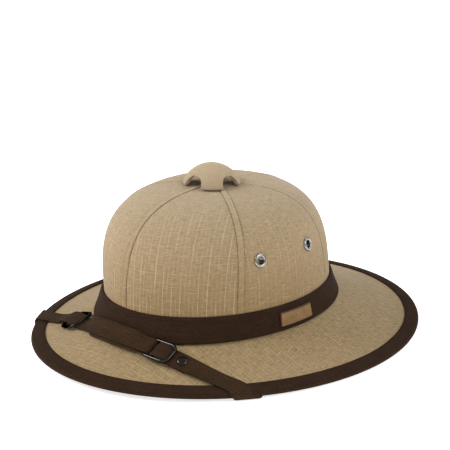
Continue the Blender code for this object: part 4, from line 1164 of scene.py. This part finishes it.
def cap_columns():
    """(direction, height of the arch there) all the way round the cap."""
    tab = math.asin(CAP_TAB_HALF_WIDTH / CAP_EDGE_RADIUS)
    arch = math.pi / CAP_TABS - tab
    columns = []
    for i in range(CAP_TABS):
        middle = 2.0 * math.pi * i / CAP_TABS
        for j in range(-12, 13):
            share = math.sin(QUARTER * j / 12.0)
            lift = CAP_ARCH_HEIGHT * (1.0 - abs(share) ** CAP_ARCH_POWER) ** (1.0 / CAP_ARCH_POWER)
            columns.append((middle + arch * share, lift))
        columns += [(middle + math.pi / CAP_TABS + tab * k / 5.0, 0.0) for k in range(-4, 5)]
    return columns


def cap_line(outward, lift):
    """(radius, turn from the top) down the outside, round the edge and up the inside."""
    edge = CAP_MIDDLE.to_2d() + outward * CAP_EDGE_RADIUS
    height = dome_top_height(edge) + CAP_CLEAR + lift - CAP_MIDDLE.z
    low, low_inside = math.acos(height / CAP_RADIUS), math.acos(height / CAP_INSIDE)
    eased = 0.3 * CAP_ROUNDING
    line = [(CAP_RADIUS, (low - CAP_ROUNDING / CAP_RADIUS) * i / 14) for i in range(1, 15)]
    line += [(CAP_RADIUS - eased, low - eased / CAP_RADIUS),
             (CAP_RADIUS - CAP_ROUNDING, low),
             (CAP_INSIDE + CAP_ROUNDING, low_inside + 0.5 * (low - low_inside) * CAP_ROUNDING / CAP_THICK),
             (CAP_INSIDE + eased, low_inside - eased / CAP_INSIDE)]
    return line + [(CAP_INSIDE, (low_inside - CAP_ROUNDING / CAP_INSIDE) * i / 9) for i in range(9, 0, -1)]


def make_cap(cloth):
    vertices, places = [], []
    columns = cap_columns()
    for direction, lift in columns:
        outward = Vector((math.sin(direction), -math.cos(direction)))
        line = cap_line(outward, lift)
        for radius, turn in line:
            point = raised(outward * (radius * math.sin(turn)), radius * math.cos(turn))
            vertices.append(CAP_MIDDLE + point)
            reach = CAP_RADIUS * turn
            places.append((CAP_SHIFT + reach * outward.x, -reach * outward.y, CAP_CUT))
    vertices += [CAP_MIDDLE + Vector((0.0, 0.0, radius)) for radius in (CAP_RADIUS, CAP_INSIDE)]
    places += [(CAP_SHIFT, 0.0, CAP_CUT)] * 2
    outer_top, inner_top = len(vertices) - 2, len(vertices) - 1
    count, faces = len(line), []
    for i in range(len(columns)):
        low, high = i * count, (i + 1) % len(columns) * count
        faces.append((outer_top, low, high))
        faces += [(low + j, low + j + 1, high + j + 1, high + j) for j in range(count - 1)]
        faces.append((inner_top, high + count - 1, low + count - 1))
    coords = [[places[k] for k in face] for face in faces]
    finished_piece("vent_cap_shell", (vertices, faces, coords), cloth, "vent_cap", 70.0)


def make_post(steel):
    inside = dome_top_height(CAP_MIDDLE) - CROWN_THICK
    low = inside - 2.0 * GAP - POST_HEAD_THICK
    under_cap = CAP_MIDDLE.z + math.sqrt(CAP_INSIDE ** 2 - POST_HEAD_RADIUS ** 2)
    top = under_cap - 2.0 * GAP - low
    profile = rounded_profile((
        (0.0, 0.0), (POST_HEAD_RADIUS, 0.0), (POST_HEAD_RADIUS, POST_HEAD_THICK),
        (POST_RADIUS, POST_HEAD_THICK), (POST_RADIUS, top - POST_HEAD_THICK),
        (POST_HEAD_RADIUS, top - POST_HEAD_THICK), (POST_HEAD_RADIUS, top), (0.0, top)), 0.0004)
    placing = Matrix.Translation(raised(CAP_MIDDLE, low))
    turned("vent_post_pin", profile, 40, placing, steel, "vent_post")


def eyelet_places():
    """(name, angle from the hat's front)."""
    places = []
    for side, sign in (("left", 1.0), ("right", -1.0)):
        for end, spread in (("front", -EYELET_SPREAD), ("back", EYELET_SPREAD)):
            places.append((f"eyelet_{side}_{end}", sign * (QUARTER + spread)))
    return places


def eyelet_seat(angle):
    turn = math.asin(((EYELET_LEVEL - WALL_LEVEL) / DOME_RISE) ** (DOME_POWER / 2.0))
    return on_ellipse(dome_section(turn), angle), crown_normal(angle, turn)


def make_eyelets(nickel):
    depth = -CROWN_THICK - 6.0 * GAP
    middle = 0.5 * (EYELET_HOLE + EYELET_FLANGE)
    reach = 0.5 * (EYELET_FLANGE - EYELET_HOLE)
    profile = [(EYELET_HOLE, depth - EYELET_BACK)]
    for turn in (math.pi * i / 12 for i in range(13)):
        height = GAP + (EYELET_HEIGHT - GAP) * math.sin(turn) ** 0.75
        profile.append((middle - reach * math.cos(turn), height))
    profile += [(EYELET_TUBE + 0.0002, GAP), (EYELET_TUBE, GAP - 0.0002), (EYELET_TUBE, depth),
                (0.9 * EYELET_FLANGE, depth), (0.9 * EYELET_FLANGE, depth - 0.6 * EYELET_BACK),
                (0.84 * EYELET_FLANGE, depth - EYELET_BACK)]
    for name, angle in eyelet_places():
        turned(name + "_metal", profile, 40, facing(*eyelet_seat(angle)), nickel, name)


# ---- chin strap ------------------------------------------------------------------------

FITTING_REACH = 0.009        # a fitting lies on the strap this far to both sides
WIDTH_STEPS = 20             # halvings that find the strap's width on the plan


def resting_row(plan, along, slant=0.0, roll=0.0):
    """Three points across the strap where it rests on the hat, from the crown's side to the
    rim's. Its width on the plan is found by halving, so that the row is as wide as the strap."""
    across = Vector((-along.y, along.x))
    if across.dot(plan - CROWN_MIDDLE) < 0.0:
        across = -across
    low, high = 0.0, 0.5 * STRAP_WIDTH
    for _ in range(WIDTH_STEPS):
        half = 0.5 * (low + high)
        crown_side = plan - across * half + along * slant
        rim_side = plan + across * half - along * slant
        rise = top_height(crown_side) - top_height(rim_side) - roll
        if math.hypot(2.0 * half, rise) > STRAP_WIDTH:
            high = half
        else:
            low = half
    row = [raised(place, top_height(place) + GAP) for place in (crown_side, plan, rim_side)]
    row[2].z += roll
    row[1].z = max(row[1].z, 0.5 * (row[0].z + row[2].z))
    return row


def row_normal(rows, i):
    before, after = neighbours(rows, i)
    return (after[1] - before[1]).cross(rows[i][2] - rows[i][0]).normalized()


def strap_on_top(route, shift=0.0, lift=None):
    """Rows along a route, each lifted off the hat along its own normal."""
    curve = spline([Vector((row.x, row.y, row.lift)) for row in route])
    turns = spline([Vector((row.slant, row.roll)) for row in route])
    rows = []
    for i, point in enumerate(curve):
        before, after = neighbours(curve, i)
        plan = point.to_2d()
        plan += (plan - CROWN_MIDDLE).normalized() * shift
        rows.append(resting_row(plan, (after - before).to_2d().normalized(), *turns[i]))
    moved = []
    for i, point in enumerate(curve):
        normal = row_normal(rows, i)
        if normal.z < 0.0:
            normal = -normal
        moved.append([place + normal * (point.z if lift is None else lift) for place in rows[i]])
    return moved


def strap_frame(place):
    """A fitting's frame on the resting strap: X along the strap, Z away from the hat."""
    along = Vector((math.cos(place.turn), math.sin(place.turn)))
    plan = Vector((place.x, place.y))
    rows = [resting_row(plan + along * reach, along, 0.0, place.roll)
            for reach in (-FITTING_REACH, 0.0, FITTING_REACH)]
    forward = (rows[2][1] - rows[0][1]).normalized()
    across = sum((row[0] - row[2] for row in rows), Vector())
    up = forward.cross(across).normalized()
    middle = sum((row[0] + row[2] for row in rows), Vector()) / 6.0
    return frame_at(middle + up * (place.lift - GAP), forward, up.cross(forward), up)


def framed_row(placing, along, up):
    half = 0.5 * STRAP_WIDTH
    return [placing @ Vector((along, across, up)) for across in (half, 0.0, -half)]


def fold_rows(placing, number, turns):
    """Rows round one of the ring's bars."""
    radius = BAR_RADIUS + 1.4 * GAP
    rows = []
    for turn in turns:
        along = RING_BARS[number] + radius * math.cos(math.radians(turn))
        rows.append(framed_row(placing, along, RING_HEIGHTS[number] + radius * math.sin(math.radians(turn))))
    return rows


def wrap_rows(angles, skew=0.0):
    """Rows round the brim's bound edge. The skew moves the first of them along the rim."""
    span = (angles[0], 0.5 * (angles[0] + angles[1]), angles[1])
    radius = EDGE_RADIUS + 1.5 * GAP
    turns = (80, 50, 20, -10, -45, -80)
    rows = []
    for turn in turns:
        ahead = skew * (turn - turns[-1]) / (turns[0] - turns[-1])
        rows.append([edge_point(angle - ahead, radius, math.radians(turn)) for angle in span])
    return rows


def hidden_rows(rim_angles, collar_angles):
    """Rows below the brim and up inside the crown's foot."""
    inner = -CROWN_THICK - COLLAR_GAP - COLLAR_THICK
    bend = 0.0004
    starts = [rim_outline(angle) for angle in rim_angles]
    ends = [collar_foot(angle, FOOT_LEVEL, inner, -1.0) for angle in collar_angles]
    sides = []
    for share in (0.16, 0.34, 0.52, 0.70, 0.88, 0.97):
        plans = [mixed(start, end.to_2d(), share) for start, end in zip(starts, ends)]
        sides.append([raised(plan, brim_height(plan, -1.0) - 2.0 * GAP) for plan in plans])
    inward = [(CROWN_MIDDLE - end.to_2d()).normalized() * bend for end in ends]
    sides.append([end + raised(step, -bend) for end, step in zip(ends, inward)])
    for level in STRAP_CLIMB:
        sides.append([collar_point(angle, level, inner - 2.0 * GAP) for angle in collar_angles])
    return [[first, 0.5 * (first + second), second] for first, second in sides]


def return_rows():
    """The long strap's folded-back layer, on top of the other, back from its end."""
    keys = sorted(LONG_ROUTE, key=lambda row: row.x)
    found = []
    for x in LONG_RETURN:
        first, second = next(pair for pair in zip(keys, keys[1:]) if pair[0].x <= x <= pair[1].x)
        share = (x - first.x) / (second.x - first.x)
        found.append(StrapRow(x, mixed(first.y, second.y, share), 0.0, 0.0,
                              mixed(first.roll, second.roll, share)))
    return strap_on_top(found, RETURN_SHIFT, STRAP_THICK + 1.5 * GAP)[::-1]


def short_strap_height(along):
    start, end = RING_BARS[2], RIVET_PLACE + RIVET_END
    under = RING_HEIGHTS[2] - BAR_RADIUS - 1.7 * GAP - STRAP_THICK
    return under - RIVET_DROP * max(0.0, along - start) / (end - start)


def long_strap_rows():
    placing = strap_frame(RING_PLACE)
    bar, height = RING_BARS[0], RING_HEIGHTS[0]
    return (return_rows()
            + [framed_row(placing, bar - 0.003, height - BAR_RADIUS + GAP)]
            + fold_rows(placing, 0, (-90, -54, -18, 18, 54, 90))
            + [framed_row(placing, bar - 0.006, height + 0.0002)]
            + strap_on_top(LONG_ROUTE) + wrap_rows(STRAP_WRAP_LONG) + hidden_rows(*LONG_END))


def short_strap_rows():
    placing = strap_frame(RING_PLACE)
    past = (RING_BARS[2] - 0.003, RING_BARS[2], RIVET_PLACE, RIVET_PLACE + RIVET_END)
    return ([framed_row(placing, along, short_strap_height(along) - GAP) for along in reversed(past)]
            + fold_rows(placing, 1, (-90, -126, -162, -198, -234, -270))
            + [framed_row(placing, RING_BARS[1] + 0.004, RING_HEIGHTS[1] + 0.0009)]
            + [framed_row(placing, along, short_strap_height(along)) for along in past]
            + strap_on_top(SHORT_ROUTE) + wrap_rows(STRAP_WRAP_SHORT, STRAP_SKEW_SHORT)
            + hidden_rows(*SHORT_END))


# places across the strap, and how far through its thickness its face lies there
STRAP_FACE = ((0.0, 0.50), (0.012, 0.18), (0.04, 0.03), (0.09, 0.0), (0.128, 0.07), (0.165, 0.0),
              (0.33, 0.02), (0.5, 0.03), (0.67, 0.02),
              (0.835, 0.0), (0.872, 0.07), (0.91, 0.0), (0.96, 0.03), (0.988, 0.18), (1.0, 0.50))
STRAP_STITCHES = (0.128, 0.872)


def strap_surface(rows, away):
    """Fine rows of the strap with each one's normal, away from the hat."""
    fine = [list(points) for points in zip(*[centripetal([row[k] for row in rows]) for k in range(3)])]
    return fine, [row_normal(fine, i) * away for i in range(len(fine))]


def across_point(row, share):
    """A point across the strap, on the curve through its three points."""
    first, middle, last = row
    return (first * ((1 - share) * (1 - 2 * share)) + middle * (4 * share * (1 - share))
            + last * (share * (2 * share - 1)))


def make_strap(name, rows, away, tape, node, holes):
    fine, normals = strap_surface(rows, away)
    back = STRAP_FACE[-2:0:-1]
    face = [*STRAP_FACE, *((share, 1.0 - depth) for share, depth in back)]
    sections = [[across_point(row, share) + normal * (STRAP_THICK * depth) for share, depth in face]
                for row, normal in zip(fine, normals)]
    travelled = lengths_along([row[1] for row in fine])
    places = [share for share, _ in STRAP_FACE] + [2.0 - share for share, _ in back]

    def coord(i, j):
        return travelled[i], places[j % len(places)] * STRAP_WIDTH, STRAP_CUT * away

    strap = finished_piece(name, skin(sections, False, coord), tape, node, 60.0)
    drilled(strap, holes, 16)


def strap_lines(rows, away):
    """Stitch lines near both edges, on the face away from the hat and on the hat side."""
    fine, normals = strap_surface(rows, away)
    lines = []
    for share in STRAP_STITCHES:
        for depth, side in ((0.93, 1.0), (0.07, -1.0)):
            lines.append([(across_point(row, share) + normal * (STRAP_THICK * depth), normal * side)
                          for row, normal in zip(fine, normals)])
    return lines


def anchor_place(strap_end):
    rows = hidden_rows(*strap_end)
    axis = (rows[-1][1] - rows[-3][1]).cross(rows[-2][2] - rows[-2][0])
    middle = rows[-2][1]
    if axis.to_2d().dot(CROWN_MIDDLE - middle.to_2d()) < 0.0:
        axis = -axis
    return facing(middle, axis)


def anchor_hole(strap_end):
    placing = anchor_place(strap_end)
    centre = placing @ Vector((0.0, 0.0, -0.5 * ANCHOR_LENGTH + STRAP_THICK))
    return centre, placing.col[2].to_3d(), ANCHOR_SHANK + GAP, ANCHOR_HOLE_DEPTH


def make_anchor(name, strap_end, steel):
    head = STRAP_THICK + GAP
    profile = rounded_profile((
        (0.0, head - ANCHOR_LENGTH), (ANCHOR_SHANK, head - ANCHOR_LENGTH), (ANCHOR_SHANK, head),
        (ANCHOR_HEAD, head), (ANCHOR_HEAD, head + ANCHOR_THICK), (0.0, head + ANCHOR_THICK)), 0.0005)
    turned(name + "_pin", profile, 32, anchor_place(strap_end), steel, name)


def rivet_place():
    placing = strap_frame(RING_PLACE)
    first, second = (placing @ Vector((along, 0.0, short_strap_height(along)))
                     for along in (RIVET_PLACE, RIVET_PLACE + RIVET_END))
    return facing(first, (second - first).cross(placing.col[1].to_3d()), second - first)


def rivet_hole():
    placing = rivet_place()
    centre = placing @ Vector((0.0, 0.0, -0.5 * GAP))
    return centre, placing.col[2].to_3d(), RIVET_SHANK + GAP, RIVET_HOLE_DEPTH


def make_rivet(steel):
    back = -STRAP_THICK - 2.0 * GAP
    seat = STRAP_THICK + GAP
    rise = 0.0006
    profile = [(0.0, back - RIVET_BACK), (0.7 * RIVET_RADIUS, back - RIVET_BACK),
               (0.7 * RIVET_RADIUS, back), (RIVET_SHANK, back), (RIVET_SHANK, seat),
               (0.97 * RIVET_RADIUS, seat), (RIVET_RADIUS, seat + 0.0001),
               (RIVET_RADIUS, seat + 0.00035), (0.95 * RIVET_RADIUS, seat + rise)]
    for i in range(1, 8):
        turn = QUARTER * i / 8
        height = seat + rise + (RIVET_HEIGHT - rise) * math.sin(turn)
        profile.append((0.88 * RIVET_RADIUS * math.cos(turn), height))
    profile.append((0.0, seat + RIVET_HEIGHT))
    turned("strap_rivet_metal", profile, 40, rivet_place(), steel, "strap_rivet")


def loop_sections(outline, inline, thick, placing):
    """Sections of a flat loop of rod between an outer and an inner outline."""
    sections = []
    for outer, inner in zip(outline, inline):
        section = []
        for cosine, sine in circle(16):
            point = raised(mixed(outer, inner, 0.5 - 0.5 * cosine), 0.5 * thick * sine)
            section.append(placing @ point)
        sections.append(section)
    return sections


def tilted(place, bars, heights):
    """A fitting's frame, moved to its middle and sloped from its first bar to its last."""
    middle = Vector((0.5 * (bars[0] + bars[-1]), 0.0, 0.5 * (heights[0] + heights[-1])))
    slope = math.atan2(heights[-1] - heights[0], bars[-1] - bars[0])
    return strap_frame(place) @ Matrix.Translation(middle) @ Matrix.Rotation(-slope, 4, "Y")


def make_ring(steel):
    placing = tilted(RING_PLACE, RING_BARS, RING_HEIGHTS)
    length = RING_BARS[2] - RING_BARS[0] + RING_WIRE
    width = STRAP_WIDTH + 2.0 * GAP + 2.0 * BAR_RADIUS + RING_WIRE
    inner_corners = [corner - RING_WIRE for corner in RING_CORNERS]
    ring = loop_sections(
        rounded_outline(length, width, RING_CORNERS, 8),
        rounded_outline(length - 2.0 * RING_WIRE, width - 2.0 * RING_WIRE, inner_corners, 8),
        RING_WIRE, placing)
    shift = RING_BARS[1] - 0.5 * (RING_BARS[0] + RING_BARS[2])
    bar = []
    for i in range(7):
        across = mixed(-0.5, 0.5, i / 6) * (width - RING_WIRE)
        bar.append([placing @ Vector((shift + BAR_RADIUS * cosine, across, BAR_RADIUS * sine))
                    for cosine, sine in circle(16)])
    shape = joined((skin(ring, True), skin(bar, False)))
    finished_piece("strap_ring_metal", shape, steel, "strap_ring", 60.0)


def make_slider(steel):
    bar = 2.0 * SLIDER_BAR
    length = SLIDER_BARS[1] - SLIDER_BARS[0] + bar
    inside = STRAP_WIDTH + 3.0 * GAP
    sections = loop_sections(
        rounded_outline(length, inside + 2.0 * SLIDER_END, (SLIDER_CORNER, SLIDER_CORNER), 8),
        rounded_outline(length - 2.0 * bar, inside, (0.0012, 0.0012), 8),
        SLIDER_THICK, tilted(SLIDER_PLACE, SLIDER_BARS, SLIDER_HEIGHTS))
    finished_piece("strap_slider_metal", skin(sections, True), steel, "strap_slider", 60.0)


# ---- floor, light and camera --------------------------------------------------------------

def make_stage():
    """A wide sheet of faintly lit white paper."""
    reach = 9.0
    mesh = bpy.data.meshes.new("floor")
    corners = [(-reach, -reach, 0.0), (reach, -reach, 0.0), (reach, reach, 0.0), (-reach, reach, 0.0)]
    mesh.from_pydata(corners, [], [(0, 1, 2, 3)])
    mesh.materials.append(Shading("floor_paper").finish(
        rgb(0.93, 0.93, 0.93), 0.9, Specular_IOR_Level=0.1,
        Emission_Color=rgb(1.0, 1.0, 1.0), Emission_Strength=0.70))
    linked("floor", mesh)


def view_back(azimuth, elevation):
    """The direction from what is seen to what sees it."""
    level = math.cos(elevation)
    return Vector((math.sin(azimuth) * level, -math.cos(azimuth) * level, math.sin(elevation)))


def make_light(name, azimuth, elevation, size, power):
    target, distance = Vector((0.0, 0.0, 0.07)), 2.0
    back = view_back(math.radians(azimuth), math.radians(elevation))
    data = bpy.data.lights.new(name, "AREA")
    data.shape = "DISK"
    data.size = size
    data.energy = power
    light = linked(name, data)
    light.location = target + back * distance
    light.rotation_mode = "QUATERNION"
    light.rotation_quaternion = back.to_track_quat("Z", "Y")


def make_camera():
    azimuth, elevation, distance = math.radians(43.77), math.radians(18.36), 1.560
    right = Vector((math.cos(azimuth), math.sin(azimuth), 0.0))
    back = view_back(azimuth, elevation)
    target = right * 0.00147 + Vector((0.0, -0.00243, 0.08326 + RIM_LEVEL))
    data = bpy.data.cameras.new("camera")
    data.sensor_width = 36.0
    data.lens = 155.4
    data.clip_end = 30.0
    camera = linked("camera", data)
    camera.matrix_world = frame_at(target + back * distance, right, back.cross(right), back)
    bpy.context.scene.camera = camera


def make_world():
    world = bpy.data.worlds.new("studio")
    bpy.context.scene.world = world
    world.use_nodes = True
    background = world.node_tree.nodes["Background"]
    background.inputs["Color"].default_value = (1.0, 1.0, 1.0, 1.0)
    background.inputs["Strength"].default_value = 0.64
    bpy.context.scene.view_settings.view_transform = "Standard"


# ---- the dressed hat -------------------------------------------------------------------------

make_camera()
make_world()
make_stage()
make_light("key", -34.0, 40.0, 0.6, 17.0)
make_light("side", -60.0, 35.0, 1.2, 15.0)
make_light("fill", 102.0, 35.0, 1.2, 12.0)
make_light("back", 170.0, 45.0, 1.5, 10.0)

crown_cloth = linen("crown_linen", slubs=0.47, streak=1.1, panelled=True)
brim_cloth = linen("brim_linen", (0.805, 0.742, 0.585), slubs=0.45, streak=1.8, sheen=0.22)
cap_cloth = linen("cap_linen", (1.13, 1.14, 1.20), slubs=0.0, streak=0.5)
tape_cloth = cotton("brown_tape", rgb(0.015, 0.0074, 0.0038), rgb(0.044, 0.0230, 0.0127))
strap_cloth = cotton("strap_tape", rgb(0.018, 0.0092, 0.0042), rgb(0.056, 0.0310, 0.0150), 0.0010)
gunmetal = metal("gunmetal", rgb(0.040, 0.038, 0.037), 0.06, 0.02, edge=0.25)
nickel = metal("nickel", rgb(0.34, 0.335, 0.32), 0.12, edge=0.7)
black_metal = metal("black_rivet", rgb(0.035, 0.033, 0.032), 0.07, 0.02, edge=0.5)
linen_thread = thread("linen_thread", rgb(0.20, 0.14, 0.08), rgb(0.10, 0.07, 0.04))
pale_thread = thread("pale_thread", rgb(0.30, 0.22, 0.13), rgb(0.22, 0.16, 0.09))
brown_thread = thread("brown_thread", rgb(0.040, 0.024, 0.015), rgb(0.022, 0.013, 0.008))

make_crown(crown_cloth)
far_seams = [number for number in range(PANELS) if number not in FRONT_SEAMS]
stitches("crown_stitching", seam_lines(FRONT_SEAMS), linen_thread)
stitches("crown_far_stitching", seam_lines(far_seams), pale_thread)
make_brim(brim_cloth)
make_binding(tape_cloth)
stitches("binding_stitching", binding_lines(), brown_thread, 0.0026, 0.0009)
make_hatband(tape_cloth)
stitches("hatband_stitching", band_lines(), brown_thread, 0.0026, 0.0009)
make_patch(leather("tan_hide"))
make_cap(cap_cloth)
make_post(gunmetal)
make_eyelets(nickel)

long_rows, short_rows = long_strap_rows(), short_strap_rows()
make_strap("strap_long_tape", long_rows, 1.0, strap_cloth, "strap_long", [anchor_hole(LONG_END)])
make_strap("strap_short_tape", short_rows, -1.0, strap_cloth, "strap_short",
           [rivet_hole(), anchor_hole(SHORT_END)])
stitches("strap_long_stitching", strap_lines(long_rows, 1.0), brown_thread, 0.0024, 0.0008, 0.0002)
stitches("strap_short_stitching", strap_lines(short_rows, -1.0), brown_thread, 0.0024, 0.0008, 0.0002)
make_ring(gunmetal)
make_slider(gunmetal)
make_rivet(black_metal)
make_anchor("strap_anchor_left", SHORT_END, gunmetal)
make_anchor("strap_anchor_right", LONG_END, gunmetal)
